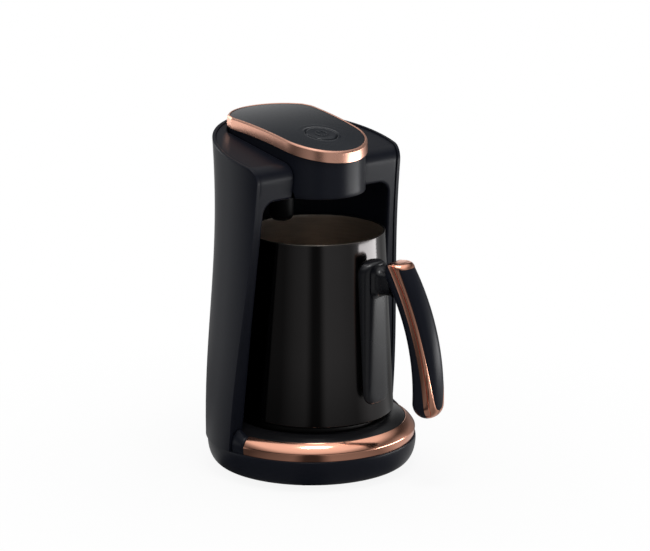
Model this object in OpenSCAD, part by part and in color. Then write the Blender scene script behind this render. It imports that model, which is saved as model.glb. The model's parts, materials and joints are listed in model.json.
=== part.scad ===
// Electric maker for pot coffee: a waisted tower with an open bay in its front, a heated
// base under the bay, a sloped head with one push button, and a pot that comes away.
// Millimetres. The front faces -Y, +X is the machine's right, and the floor is z = 0.

/* [Shell and frame] */
// How far the shell's mean radius lies inside the foot's widest
shell_step = 2.6; // [2:0.1:3]
// How far the shell swells and draws in about its mean radius
shell_flare = 4; // [3:0.1:4.4]
// Height at which the shell is widest
flare_z = 30; // [26:1:40]
// How far below the shoulder's front corner the shell is narrowest
waist_step = 30; // [20:1:45]
// Wall of the shell
shell_t = 2.5; // [2:0.1:3]
// How far the shell's rim stands proud of the frame inside it
shell_lip = 0.8; // [0.4:0.1:1.2]
// Height of the shoulder at its front corner
shoulder_h = 225; // [222:0.5:228]
// Rise of the shoulder towards the back, in degrees
shoulder_slope = 12; // [10:0.5:13]
// Distance of the front face ahead of the axis, at the shoulder
front_y = 20.6; // [19:0.1:22]
// Lean of the front face, in degrees
front_lean = 5.9; // [5.4:0.1:6.4]
// Radius of the roll between the shoulder and the front face
roll_r = 10; // [8:0.5:12]
// Radius of the soft edge where the shoulder turns down to the neck
neck_edge_r = 6; // [4:0.5:7]
// Wall of the frame
frame_t = 3; // [2.4:0.1:3.4]

/* [Bay] */
// Distance of the bay's axis, which is the pot's too, ahead of the shell's axis
bay_y = 5; // [4:0.5:6]
// How far the bay's wall at its ceiling lies inside the shell's mean radius
bay_step = 14.2; // [13.6:0.1:15]
// Widening of the bay's wall towards the base, in degrees
bay_taper = 1.95; // [1.8:0.05:2.1]
// How far the bay's ceiling lies below the shoulder's front corner
bay_step_h = 23.5; // [22:0.5:26]
// Radius of the corner between the bay's wall and its ceiling
bay_corner = 9; // [6:0.5:12]

/* [Base] */
// Radius of the foot at its widest
foot_r = 75; // [74.6:0.1:76]
// How far the foot draws in at its lower edge
foot_bow = 8.5; // [6:0.5:9]
// Wall of the foot
foot_t = 2.5; // [2:0.1:3]
// Height of the rubber feet
pad_h = 3; // [2:0.5:4]
// Radius of a rubber foot
pad_r = 8; // [6:0.5:10]
// Height of the seam between the foot and what stands on it
seam_h = 22; // [21:0.5:24]
// Height of the shelf inside the base that carries the deck and the plate
shelf_h = 32; // [31:0.5:33]
// How far the trim ring's outer corner lies inside the foot's widest
ring_step = 0.4; // [0:0.1:0.8]
// Width of the trim ring, seen from above
ring_w = 7.1; // [6.5:0.1:7.5]
// Height of the trim ring's inner edge above the seam
ring_h = 12.5; // [11.5:0.5:13]
// Height of the trim ring's upright side
ring_side_h = 5.3; // [4:0.1:7]
// Bow of the trim ring's sloped top
ring_bow = 0.6; // [0:0.1:1.2]
// Angle ahead of the X axis at which the trim ring ends
ring_start = 10; // [8:0.5:12]
// Height of the black toe behind each end of the trim ring
toe_h = 16; // [14.5:0.5:18]
// Height of the deck's inner edge above the shelf
deck_h = 5.3; // [4.5:0.1:6]
// How far the heated plate's edge lies inside the pot's bottom
plate_step = 5.5; // [4.5:0.5:7]
// Height of the top of the heated plate
plate_h = 40; // [39:0.5:41]
// How far the heating tube's ring lies inside the plate's edge
element_step = 14; // [10:0.5:20]
// Thickness of the heating tube
element_d = 6.5; // [5:0.5:7]

/* [Head] */
// Radius of the nose of the lid, seen from above
nose_r = 34.2; // [33.5:0.1:35]
// Distance of the nose's centre ahead of the shell's axis
nose_y = 8.4; // [7:0.1:9]
// Outward flare of the lid's sides, in degrees
lid_flare = 3.25; // [2.5:0.05:3.6]
// Radius of the lid's back edge
lid_back_r = 44.5; // [44:0.1:48]
// How far the lid's back edge lies inside the shell's mean radius
lid_back_step = 3.9; // [3.7:0.1:5]
// Radius of the curve of the lid's top from front to back
crown_r = 426; // [400:2:460]
// Distance behind the shell's axis at which the lid's top is level
crown_y = 73.5; // [72:0.5:80]
// Height of the lid's top, where it is level, above the shoulder's front corner
crown_step = 26; // [25:0.2:27]
// Height of the metal band around the lid
band_h = 8; // [6:0.2:9]
// Width of the band, seen from above
band_w = 2.2; // [1.8:0.1:3]
// Thickness of the top panel inside the band
panel_t = 2.5; // [2:0.1:3]
// How far the panel lies below the band's top
panel_drop = 0.3; // [0.1:0.1:0.6]
// How far the neck stands back from the band
neck_inset = 1.4; // [1:0.1:1.8]
// Wall of the head
head_t = 2.5; // [2:0.1:3]
// Radius of the push button
button_r = 11; // [9:0.5:12]
// Distance of the button ahead of the shell's axis
button_y = 11; // [9:0.5:13]
// Travel of the button
button_travel = 1; // [0.6:0.1:1.2]
// Radius of the probe that watches the coffee rise
probe_r = 8.7; // [7:0.1:9.5]
// How far the probe hangs below the bay's ceiling
probe_drop = 23; // [18:0.5:24]
// Distance of the probe to the left of the middle
probe_x = 16; // [12:0.5:20]
// Distance of the probe behind the shell's axis
probe_y = 14; // [10:0.5:20]

/* [Pot] */
// How far the pot's bottom lies inside the bay's wall at its ceiling
pot_step = 2.7; // [1.7:0.1:4]
// How far the pot draws in towards its rim
pot_draw = 6.5; // [5:0.5:8]
// Room between the pot's rim and the bay's ceiling
pot_room = 29; // [28:0.5:34]
// Thickness of the pot's wall
pot_t = 1.2; // [1:0.1:1.6]
// How far the disc under the pot lies inside the plate's edge
pot_disc_step = 1; // [0:0.5:4]
// Thickness of that disc
pot_disc_t = 1.5; // [1:0.1:2]

/* [Handle] */
// Turn of the handle from the front, in degrees
handle_turn = 12.5; // [0:0.5:20]
// Width of the bracket on the pot
bracket_w = 28; // [24:0.5:30]
// How far the bracket's upper end lies below the pot's rim
bracket_drop = 15; // [12:1:22]
// Height of the bracket's lower end above the pot's bottom
bracket_z = 13; // [10:0.5:16]
// How far the bracket's face stands out beyond the pot's bottom
bracket_step = 1.5; // [1:0.1:3.5]
// Width of the arm between the bracket and the grip
arm_w = 14; // [11:0.5:15]
// Height of the arm's section
arm_h = 18; // [15:0.5:19]
// How far the arm's middle lies below the pot's rim
arm_drop = 29; // [27:0.5:32]
// Radius of the grip's curve, along its middle
grip_arc_r = 156; // [150:1:165]
// Distance from the bracket's face to the grip's middle where it hangs upright
finger_room = 41.5; // [40:0.5:44]
// Height above the pot's bottom at which the grip hangs upright
grip_upright_z = 26.5; // [24:0.5:30]
// Width of the grip, across
grip_w = 20; // [17:0.5:22]
// Thickness of the grip, outwards
grip_t = 21; // [18:0.5:22]
// How far the grip's top lies below the pot's rim
grip_drop = 13; // [11:0.5:15]
// Height of the grip's lower tip above the pot's bottom
grip_tip_z = 10; // [8:0.5:13]
// Width of the metal inlay along the grip
inlay_w = 5.5; // [4.5:0.1:6]
// Radius of the inlay's curve
inlay_arc_r = 245; // [235:1:255]
// Distance of the inlay's arc outside the grip's arc, where each hangs upright
inlay_out = 8.1; // [7:0.1:9]
// Distance of the inlay's upright point below the grip's
inlay_down = 31; // [28:0.5:33]
// Thickness of the inlay where it wraps over the grip's top and under its tip
inlay_cap = 3; // [2:0.1:4]

/* [Hidden] */

$fn = 96;
fine = 360;       // sides of the very large circles
tight = 0.15;     // gap between fixed pieces that fit into each other
loose = 0.3;      // gap between pieces that move past each other
reach = 200;      // longer than anything it cuts

satin_black = [0.06, 0.06, 0.07];
gloss_black = [0.03, 0.03, 0.035];
rose_gold = [0.85, 0.55, 0.42];
dark_steel = [0.2, 0.19, 0.19];
bright_steel = [0.7, 0.7, 0.72];
rubber_black = [0.04, 0.04, 0.04];
board_green = [0.05, 0.3, 0.15];

waist_z = shoulder_h - waist_step;
bay_h = shoulder_h - bay_step_h;
crown_h = shoulder_h + crown_step;
pot_z = plate_h + pot_disc_t;
pot_h = bay_h - pot_z - pot_room;
bracket_h = pot_h - bracket_z - bracket_drop;
arm_z = pot_h - arm_drop;
grip_top_z = pot_h - grip_drop;
shell_r = foot_r - shell_step;
foot_edge_r = foot_r - foot_bow;
ring_r = foot_r - ring_step;
ring_in_r = ring_r - ring_w;
bay_r = shell_r - bay_step;
lid_back_y = shell_r - lid_back_step;
pot_bottom_r = bay_r - pot_step;
pot_rim_r = pot_bottom_r - pot_draw;
plate_r = pot_bottom_r - plate_step;
pot_disc_r = plate_r - pot_disc_step;
element_r = plate_r - element_step;
bracket_reach = pot_bottom_r + bracket_step;
grip_reach = bracket_reach + finger_room;

// Radius of the shell's outside at a height
function shell_at(z) = shell_r + shell_flare * cos(180 * (z - flare_z) / (waist_z - flare_z));
shell_top = crown_h + 11;
shell_steps = 28;
shell_zs = [for (i = [0:shell_steps]) seam_h + (shell_top - seam_h) * i / shell_steps];

// Outward normals of the shoulder and of the front face, as [y, z]
shoulder_n = [-sin(shoulder_slope), cos(shoulder_slope)];
front_n = [-cos(front_lean), -sin(front_lean)];
shoulder_d = [cos(shoulder_slope), sin(shoulder_slope)];
front_d = [sin(front_lean), -cos(front_lean)];
roll_steps = 12;
roll_c = [-front_y, shoulder_h] - roll_r * (shoulder_n + front_n) / (1 + shoulder_n * front_n);
function front_at(z) = -front_y + (shoulder_h - z) * tan(front_lean);
function shoulder_at(y) = shoulder_h + (y + front_y) * tan(shoulder_slope);

function bay_at(z) = bay_r + (bay_h - z) * tan(bay_taper);
ceiling_top = bay_h + frame_t;

shelf_t = 2.5;
flange_t = 2.9;
upstand_r = ring_in_r - 0.7;
toe_r = ring_r + 0.5;
toe_gap_turn = 0.12;
upstand_t = 4.8;
shelf_in_r = plate_r + 2;
column_r = 4;
column_at = upstand_r - 6.8;
column_turns = [45, 135, 225, 315];
screw_r = 1.4;
screw_head_r = 3;
screw_head_h = 1.5;
boss_r = 5.5;
boss_at = foot_r - foot_t - screw_head_r - loose;
boss_turns = [60, 120];
boss_h = 18;
cover_t = 2.5;
cover_r = foot_edge_r - 2.9;
board_z = pad_h + cover_t + 6;
board_t = 1.6;
board_size = [64, 44];
vent_at = 22;
vent_l = 10;
gasket_t = 1.5;
plate_low = shelf_h + gasket_t;
cord_z = 12.5;
cord_bore_r = 3.8;
cord_neck_r = cord_bore_r + 1.3;

side_n = [cos(lid_flare), -sin(lid_flare)];
side_d = [sin(lid_flare), cos(lid_flare)];
back_c = lid_back_y - lid_back_r;
nose_steps = 48;
back_steps = 28;
crown_z = crown_h - crown_r;
function crown_at(y) = crown_z + sqrt(crown_r * crown_r - (y - crown_y) * (y - crown_y));
button_tilt = asin((crown_y + button_y) / crown_r);
panel_under = -panel_drop - panel_t;
lip_gap = 0.5;
lip_t = 1;
board_drop = 10;
boss_x = 20;
boss_ys = [-11, 30];
post_r = 4;
post_side = nose_r - neck_inset - head_t - 1;
head_posts = [[-post_side, -4], [post_side, -4], [-post_side - 1.5, 22], [post_side + 1.5, 22]];

pot_corner = 2;
pot_rim_h = 0.6;
pot_floor_t = 1.5;
grip_c = [grip_reach - grip_arc_r, pot_z + grip_upright_z];
grip_edge = 7.5;
grip_top_in = bracket_reach + 10;
inlay_c = [grip_reach + inlay_out - inlay_arc_r, grip_c[1] - inlay_down];

// ---------------------------------------------------------------- helpers

// Draws a side view, with y to the right and z up, as a slab across the machine
module side_slab(w = 2 * reach) {
    rotate([90, 0, 90]) linear_extrude(w, center = true) children();
}

// The side view of the tower, grown outwards by d: sloped top, rolled edge, leaning front
module side_view(d = 0) {
    r = roll_r + d;
    turn0 = 90 + shoulder_slope;
    turn1 = 180 + front_lean;
    roll = [for (i = [0:roll_steps]) let (a = turn0 + (turn1 - turn0) * i / roll_steps)
            roll_c + r * [cos(a), sin(a)]];
    polygon(concat([[reach, -reach], roll[0] + reach * shoulder_d], roll,
                   [roll[roll_steps] + 2 * reach * front_d]));
}

// The waisted round body, grown outwards by d
module waisted_body(d = 0) {
    rotate_extrude()
        polygon(concat([[0, seam_h]], [for (z = shell_zs) [shell_at(z) + d, z]], [[0, shell_top]]));
}

// The bay: a cone round the pot's axis with a rounded ceiling corner, grown by d
module bay_space(d = 0, low = 0) {
    corner = bay_corner + d;
    top = bay_h + d;
    wall_z = top - corner;
    wall_r = bay_at(wall_z) + d;
    translate([0, -bay_y, 0]) rotate_extrude() {
        polygon([[0, low], [bay_at(low) + d, low], [wall_r, wall_z], [0, wall_z]]);
        square_to(wall_r - corner, wall_z, top);
        intersection() {
            translate([wall_r - corner, wall_z]) circle(corner);
            translate([0, wall_z]) square([wall_r, corner]);
        }
    }
}

module square_to(r, z0, z1) {
    translate([0, z0]) square([r, z1 - z0]);
}

module ring(r_in, r_out, z0, z1) {
    difference() {
        translate([0, 0, z0]) cylinder(r = r_out, h = z1 - z0);
        translate([0, 0, z0 - 1]) cylinder(r = r_in, h = z1 - z0 + 2);
    }
}

module around(turns, at) {
    for (a = turns) rotate([0, 0, a]) translate([at, 0, 0]) children();
}

// The lid seen from above, drawn in by i: round nose, flared sides, curved back
function arc_points(c, r, from, to, steps) =
    [for (k = [0:steps]) let (a = from + (to - from) * k / steps) c + r * [cos(a), sin(a)]];

module lid_outline(i = 0) {
    nose_c = [0, -nose_y];
    back_at = [0, back_c];
    side = nose_c + (nose_r - i) * side_n;
    off = side - back_at;
    along = -(off * side_d) + sqrt(pow(off * side_d, 2) - off * off + pow(lid_back_r - i, 2));
    corner = side + along * side_d;
    corner_turn = atan2(corner[1] - back_c, corner[0]);
    polygon(concat(arc_points(nose_c, nose_r - i, -180 + lid_flare, -lid_flare, nose_steps),
                   arc_points(back_at, lid_back_r - i, corner_turn, 180 - corner_turn, back_steps)));
}

module lid_prism(i = 0, z0 = bay_h, z1 = shell_top + 10) {
    translate([0, 0, z0]) linear_extrude(z1 - z0) lid_outline(i);
}

// Everything below the lid's curved top, lowered by d
module under_crown(d = 0) {
    translate([0, crown_y, crown_z]) rotate([0, 90, 0])
        cylinder(r = crown_r - d, h = 2 * reach, center = true, $fn = fine);
}

// Places a piece on the button's axis, with z = 0 at the lid's top
module at_button() {
    translate([0, -button_y, crown_at(-button_y)]) rotate([button_tilt, 0, 0]) children();
}

// Places a piece on the pot's axis, with the handle's side turned to -Y
module at_handle() {
    translate([0, -bay_y, 0]) rotate([0, 0, handle_turn]) children();
}

// Draws the handle's side view, with the distance from the pot's axis to the right
module handle_slab(w) {
    rotate([90, 0, -90]) linear_extrude(w, center = true) children();
}

module rounded_square(size, r) {
    square([size[0] - 2 * r, size[1]], center = true);
    square([size[0], size[1] - 2 * r], center = true);
    for (x = [-1, 1], y = [-1, 1])
        translate([x * (size[0] / 2 - r), y * (size[1] / 2 - r)]) circle(r);
}

// ---------------------------------------------------------------- base

module rubber_feet() color(rubber_black)
    around([0, 90, 180, 270], cover_r - pad_r - 4) {
        cylinder(r = pad_r, h = pad_h - 1);
        translate([0, 0, pad_h - 1]) cylinder(r = pad_r - 1, h = 1);
    }

module bottom_cover() color(satin_black) difference() {
    union() {
        translate([0, 0, pad_h]) cylinder(r = cover_r, h = cover_t);
        for (x = [-1, 1], y = [-1, 1])
            translate([x * (board_size[0] / 2 - 4), y * (board_size[1] / 2 - 4), pad_h + cover_t])
                cylinder(r = 3, h = board_z - pad_h - cover_t);
    }
    around(column_turns, column_at)
        translate([0, 0, pad_h - 1]) cylinder(r = screw_r + 0.4, h = cover_t + 2);
    around([0:15:345], vent_at)
        translate([-vent_l / 2, -1, pad_h - 1]) cube([vent_l, 2, cover_t + 2]);
}

module base_screws() color(bright_steel) around(column_turns, column_at) {
    translate([0, 0, pad_h - screw_head_h]) cylinder(r = screw_head_r, h = screw_head_h);
    translate([0, 0, pad_h]) cylinder(r = screw_r, h = 12);
}

// The foot's bowed outer wall from its lower edge to the seam, grown by d
function foot_wall(d = 0) = concat(
    [for (a = [0:9:90]) [foot_edge_r + d + foot_bow * sin(a),
                         pad_h + (seam_h - pad_h - 3) * (1 - cos(a))]],
    [[foot_r + d - 0.4, seam_h]]);

// The foot: a bowed outer wall, the seam flange, an upstand and the shelf, in one moulding
module base_casing() color(satin_black) difference() {
    union() {
        rotate_extrude() polygon(concat(foot_wall(),
            [[upstand_r, seam_h], [upstand_r, shelf_h],
             [shelf_in_r, shelf_h], [shelf_in_r, shelf_h - shelf_t],
             [upstand_r - upstand_t, shelf_h - shelf_t],
             [upstand_r - upstand_t, seam_h - flange_t]],
            [for (a = [90:-9:0]) [foot_edge_r - foot_t + foot_bow * sin(a),
                                  pad_h + (seam_h - pad_h - flange_t) * (1 - cos(a))]]));
        around(column_turns, column_at)
            translate([0, 0, pad_h + cover_t])
                cylinder(r = column_r, h = shelf_h - shelf_t / 2 - pad_h - cover_t);
    }
    around(column_turns, column_at)
        translate([0, 0, pad_h]) cylinder(r = screw_r + 0.05, h = 15);
    around(boss_turns, boss_at)
        translate([0, 0, seam_h - flange_t - 1]) cylinder(r = screw_r + 0.3, h = flange_t + 2);
    at_cord(-10) cylinder(r = cord_neck_r + 0.1, h = 20);
}

// Places a piece on the cord's way in, d behind the foot's widest
module at_cord(d) {
    translate([0, foot_r + d, cord_z]) rotate([-90, 0, 0]) children();
}

// The bush's neck fills the hole, and its collar lies against the bowed wall
module cord_bush() color(rubber_black) difference() {
    union() {
        difference() {
            at_cord(-5) cylinder(r = cord_neck_r + 2, h = 6.3);
            rotate_extrude() polygon(concat([[0, pad_h]], foot_wall(tight), [[0, seam_h]]));
        }
        at_cord(-6) cylinder(r = cord_neck_r, h = 6.5);
    }
    at_cord(-7) cylinder(r = cord_bore_r, h = 9);
}

module power_board() color(board_green)
    translate([0, 0, board_z + board_t / 2]) cube([board_size[0], board_size[1], board_t], center = true);

module power_relay() color(gloss_black) {
    translate([-26, -14, board_z + board_t]) cube([19, 15, 5.5]);
    translate([4, -16, board_z + board_t]) cube([22, 9, 5]);
    translate([12, 8, board_z + board_t]) cylinder(r = 5, h = 5);
}

module heat_shield() color(bright_steel) difference() {
    pan_r = shelf_in_r + 3.5;
    low = board_z + board_t + 6.5;
    high = shelf_h - shelf_t;
    rotate_extrude() polygon([[0, low], [pan_r, low], [pan_r, high - 1], [pan_r + 3, high - 1],
                              [pan_r + 3, high], [pan_r - 1, high], [pan_r - 1, low + 1],
                              [0, low + 1]]);
    around(column_turns, column_at) translate([0, 0, low - 1]) cylinder(r = column_r + loose, h = 20);
}

module heating_element() color(bright_steel)
    translate([0, 0, plate_low - element_d / 2 - 0.02]) {
        rotate_extrude() translate([element_r, 0]) circle(d = element_d, $fn = 48);
        for (x = [-9, 9])
            translate([x, element_r - 2, -1]) rotate([90, 0, 0]) cylinder(d = element_d - 2, h = 16);
    }

module thermostat() color(bright_steel) {
    translate([0, 0, plate_low - 5]) cylinder(r = 8, h = 5);
    translate([-3, -11, plate_low - 6]) cube([6, 22, 1]);
}

// ---------------------------------------------------------------- hot side of the base

module plate_gasket() color(rubber_black)
    ring(plate_r + 0.5, plate_r + 4.5, shelf_h, plate_low);

// The pot stands on a raised disc whose flange sits on the gasket
module hot_plate() color(dark_steel)
    rotate_extrude() polygon([[0, plate_low], [plate_r + 4, plate_low], [plate_r + 4, plate_low + 1.6],
                              [plate_r, plate_low + 1.6], [plate_r, plate_h - 1],
                              [plate_r - 1, plate_h], [0, plate_h]]);

// A smooth ring that rises towards the plate; it stops at the bay's wall
module base_deck() color(gloss_black) intersection() {
    deck_in = plate_r + 4.6;
    deck_out = ring_in_r - tight;
    edge_h = seam_h + ring_h - shelf_h - 0.3;
    rotate_extrude() polygon(concat(
        [[deck_in, shelf_h], [deck_out, shelf_h]],
        [for (i = [0:6]) [deck_out - (deck_out - deck_in - 1) * i / 6,
                          shelf_h + edge_h + (deck_h - edge_h) * sin(15 * i)]],
        [[deck_in, shelf_h + deck_h - 1]]));
    union() {
        bay_space(-tight);
        translate([-reach, -reach, 0]) cube([2 * reach, reach + front_at(shelf_h + deck_h) - tight, reach]);
    }
}

// Bright ring round the front of the base: upright side, sloped and curved top
module base_ring_trim() color(rose_gold)
    rotate([0, 0, 180 + ring_start]) rotate_extrude(angle = 180 - 2 * ring_start, $fn = 144)
        polygon(concat(
            [[ring_in_r, seam_h], [ring_r - 1.2, seam_h]],
            [for (i = [0:6]) let (t = i / 6, bow = ring_bow * sin(180 * t))
                [ring_r - (ring_r - ring_in_r) * t + bow,
                 seam_h + ring_side_h + (ring_h - ring_side_h) * t + bow]]));

// ---------------------------------------------------------------- shell and frame

// The outer skin wraps the back and the sides, and its rim follows the frame
module rear_shell() color(satin_black) {
    intersection() {
        difference() {
            waisted_body(0);
            waisted_body(-shell_t);
        }
        side_slab() side_view(shell_lip);
    }
    intersection() {
        around(boss_turns, boss_at) difference() {
            translate([0, 0, seam_h]) cylinder(r = boss_r, h = boss_h);
            translate([0, 0, seam_h - 1]) cylinder(r = screw_r + 0.05, h = boss_h - 1);
        }
        difference() {
            waisted_body(-shell_t / 2);
            cylinder(r = upstand_r + tight, h = shelf_h + tight);
        }
    }
}

module shell_screws() color(bright_steel) around(boss_turns, boss_at) {
    translate([0, 0, seam_h - flange_t - screw_head_h]) cylinder(r = screw_head_r, h = screw_head_h);
    translate([0, 0, seam_h - flange_t]) cylinder(r = screw_r, h = flange_t + 12);
}

// The toes carry the line of the trim ring back to the pillars
module toes() {
    face = front_at(seam_h) - shell_lip - tight;
    front = -ring_r * sin(ring_start) - 1;
    for (s = [0, 1]) mirror([s, 0, 0]) intersection() {
        rotate([0, 0, -ring_start + toe_gap_turn]) rotate_extrude(angle = 2 * ring_start)
            polygon([[ring_in_r, seam_h], [toe_r - 0.8, seam_h],
                     [toe_r, seam_h + ring_side_h + 2], [toe_r - 3, seam_h + toe_h - 3],
                     [toe_r - 5, seam_h + toe_h], [ring_in_r, seam_h + toe_h]]);
        side_slab() polygon([[front, seam_h], [face, seam_h],
                             [face - toe_h * tan(front_lean), seam_h + toe_h],
                             [front, seam_h + ring_h - 2]]);
    }
    intersection() {
        ring(ring_in_r + 1, shell_at(seam_h) - shell_t - tight, seam_h, seam_h + toe_h - 3);
        translate([-reach, face - 1, seam_h]) cube([2 * reach, 5, toe_h]);
    }
}

// Cuts the shoulder's inner edge round where it turns down beside the neck
module neck_edges() {
    j = neck_inset - tight;
    x0 = (nose_y * sin(lid_flare) + nose_r - j) / cos(lid_flare);
    r = neck_edge_r;
    for (s = [0, 1]) mirror([s, 0, 0])
        translate([x0, 0, shoulder_at(0)]) rotate([0, 0, -lid_flare]) rotate([shoulder_slope, 0, 0])
            difference() {
                translate([-2, -reach, -r]) cube([r + 2, reach + lid_back_y - 18, 2 * r]);
                translate([r, 0, -r]) rotate([90, 0, 0]) cylinder(r = r, h = 3 * reach, center = true);
            }
}

// Shoulders, front face and bay liner are one moulding with a well for the head
module front_frame() color(satin_black) difference() {
    union() {
        toes();
        intersection() {
            union() {
                side_slab() difference() {
                    side_view(0);
                    side_view(-frame_t);
                }
                bay_space(frame_t, shelf_h);
                difference() {
                    lid_prism(neck_inset - tight - neck_edge_r, bay_h);
                    translate([-reach, lid_back_y - 24, 0]) cube([2 * reach, reach, 2 * reach]);
                }
            }
            waisted_body(-shell_t - tight);
            side_slab() side_view(0);
        }
    }
    bay_space(0);
    translate([0, 0, seam_h - 1]) cylinder(r = ring_in_r - tight, h = shelf_h - seam_h + 1);
    lid_prism(neck_inset - tight, ceiling_top);
    translate([-30, lid_back_y - 18, ceiling_top]) cube([60, 40, 80]);
    neck_edges();
    translate([-probe_x, probe_y, bay_h - 1]) cylinder(r = probe_r + tight, h = frame_t + 2);
    for (p = head_posts) translate([p[0], p[1], bay_h - 1]) {
        cylinder(r = screw_r + 0.3, h = frame_t + 2);
        cylinder(r = screw_head_r + 0.2, h = screw_head_h + 1.1);
    }
}

// ---------------------------------------------------------------- head

module head_housing() color(satin_black) difference() {
    union() {
        difference() {
            union() {
                intersection() {
                    lid_prism(neck_inset);
                    under_crown(band_h);
                    waisted_body(-shell_t - tight);
                }
                intersection() {
                    lid_prism(band_w + tight, ceiling_top + 10);
                    under_crown(panel_drop + panel_t);
                }
            }
            lid_prism(neck_inset + head_t, bay_h + head_t);
            intersection() {
                side_slab() side_view(tight);
                translate([-reach, -reach, 0]) cube([2 * reach, 2 * reach, ceiling_top]);
            }
        }
        intersection() {
            for (p = head_posts) translate([p[0], p[1], ceiling_top]) cylinder(r = post_r, h = 12);
            lid_prism(neck_inset + head_t / 2);
        }
    }
    for (p = head_posts) translate([p[0], p[1], ceiling_top - 1]) cylinder(r = screw_r + 0.05, h = 11);
}

module head_screws() color(bright_steel)
    for (p = head_posts) translate([p[0], p[1], bay_h + 0.1]) {
        cylinder(r = screw_head_r, h = screw_head_h);
        cylinder(r = screw_r, h = frame_t + 8);
    }

// A round-ended probe hangs through the ceiling and rests on it by its flange
module overflow_probe() color(gloss_black) translate([-probe_x, probe_y, 0]) difference() {
    union() {
        translate([0, 0, ceiling_top]) cylinder(r = probe_r + 2.5, h = 2);
        translate([0, 0, bay_h - probe_drop + 5]) cylinder(r = probe_r, h = probe_drop + frame_t - 4);
        rotate_extrude() intersection() {
            translate([0, bay_h - probe_drop]) square([probe_r, 5]);
            union() {
                translate([probe_r - 5, bay_h - probe_drop + 5]) circle(5);
                translate([0, bay_h - probe_drop]) square([probe_r - 5, 5]);
            }
        }
    }
    translate([0, 0, bay_h - probe_drop - 1]) cylinder(r = 3.5, h = 2);
}

module probe_lens() color([0.25, 0.02, 0.02])
    translate([-probe_x, probe_y, bay_h - probe_drop + 0.2]) cylinder(r = 3.4, h = 0.8);

// The band stands on the neck, and at the back it clears the shell's rim
module lid_trim() color(rose_gold) difference() {
    intersection() {
        lid_prism(0, ceiling_top + 10);
        under_crown(0);
    }
    under_crown(band_h);
    lid_prism(band_w, bay_h);
    side_slab() side_view(shell_lip + tight);
}

// The panel carries the button's hole and, underneath, the posts of the control board
module top_panel() color(gloss_black) difference() {
    union() {
        difference() {
            intersection() {
                lid_prism(band_w + tight, ceiling_top + 10);
                under_crown(panel_drop);
            }
            under_crown(panel_drop + panel_t);
        }
        at_button() for (x = [-boss_x, boss_x], y = boss_ys)
            translate([x, y, -board_drop]) cylinder(r = 3, h = board_drop - 1.9);
    }
    at_button() {
        translate([0, 0, -6]) cylinder(r = button_r + loose, h = 12);
        for (x = [-boss_x, boss_x], y = boss_ys)
            translate([x, y, -board_drop - 1]) cylinder(r = 1.25, h = 7);
    }
}

module light_guide() color([0.9, 0.9, 0.95]) at_button()
    ring(button_r + 2.4, button_r + 4, -board_drop, panel_under - 0.5);

module control_board() color(board_green) at_button() difference() {
    translate([-boss_x - 4, boss_ys[0] - 4, -board_drop - board_t])
        cube([2 * boss_x + 8, boss_ys[1] - boss_ys[0] + 10, board_t]);
    for (x = [-boss_x, boss_x], y = boss_ys)
        translate([x, y, -board_drop - board_t - 1]) cylinder(r = 1.5, h = board_t + 2);
}

module board_screws() color(bright_steel) at_button()
    for (x = [-boss_x, boss_x], y = boss_ys) {
        translate([x, y, -board_drop - board_t - 1.4]) cylinder(r = 2.5, h = 1.4);
        translate([x, y, -board_drop - board_t]) cylinder(r = 1.2, h = board_t + 5);
    }

module button_switch() color(bright_steel) at_button() {
    translate([-3, -3, -board_drop]) cube([6, 6, 1.8]);
    translate([0, 0, -board_drop + 1.8]) cylinder(r = 1.6, h = 0.4);
}

module buzzer() color(gloss_black) at_button()
    translate([8, 27, -board_drop]) cylinder(r = 6, h = 5);

// Round cap with a lip that keeps it under the panel and a stem above the switch
module power_button() color(gloss_black) at_button() {
    lip_top = panel_under - lip_gap;
    stem_low = -board_drop + 2.2 + button_travel + 0.2;
    translate([0, 0, lip_top]) cylinder(r = button_r, h = -lip_top - 0.1);
    translate([0, 0, lip_top - lip_t]) cylinder(r = button_r + 1.6, h = lip_t);
    translate([0, 0, stem_low]) cylinder(r = 2.5, h = lip_top - lip_t - stem_low);
}

// ---------------------------------------------------------------- pot

// Straight cone, drawn in towards the rim, with a small corner at the floor
module pot_body() color(dark_steel) translate([0, -bay_y, pot_z]) rotate_extrude() polygon(concat(
    [[0, 0]],
    [for (a = [0:15:90]) [pot_bottom_r - pot_corner * (1 - sin(a)), pot_corner * (1 - cos(a))]],
    [[pot_rim_r, pot_h - pot_rim_h], [pot_rim_r - 0.3, pot_h], [pot_rim_r - pot_t + 0.3, pot_h],
     [pot_rim_r - pot_t, pot_h - pot_rim_h]],
    [for (a = [90:-15:0]) [pot_bottom_r - pot_t - pot_corner * (1 - sin(a)),
                           pot_floor_t + pot_corner * (1 - cos(a))]],
    [[0, pot_floor_t]]));

module pot_disc() color(bright_steel) translate([0, -bay_y, plate_h])
    cylinder(r = pot_disc_r, h = pot_disc_t);

// The solid cone of the pot's outside, between its corner and its rim
module pot_cone() {
    translate([0, -bay_y, pot_z + pot_corner])
        cylinder(r1 = pot_bottom_r, r2 = pot_rim_r, h = pot_h - pot_rim_h - pot_corner);
}

module handle_bracket() color(gloss_black) difference() {
    at_handle() intersection() {
        translate([0, 0, pot_z + bracket_z + bracket_h / 2]) rotate([90, 0, 0])
            linear_extrude(reach) rounded_square([bracket_w, bracket_h], 10);
        linear_extrude(reach) translate([0, -bracket_reach / 2 - 10])
            rounded_square([bracket_w, bracket_reach - 20], 6);
    }
    pot_cone();
    at_handle() handle_screw_holes(screw_r + 0.05);
}

module handle_screw_holes(r) {
    for (z = [0.12, 0.88])
        translate([0, -pot_rim_r + 4, pot_z + bracket_z + bracket_h * z]) rotate([90, 0, 0])
            cylinder(r = r, h = 9.5);
}

// Studs welded to the pot's wall hold the bracket
module handle_screws() color(bright_steel) difference() {
    at_handle() handle_screw_holes(screw_r);
    pot_cone();
}

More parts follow.
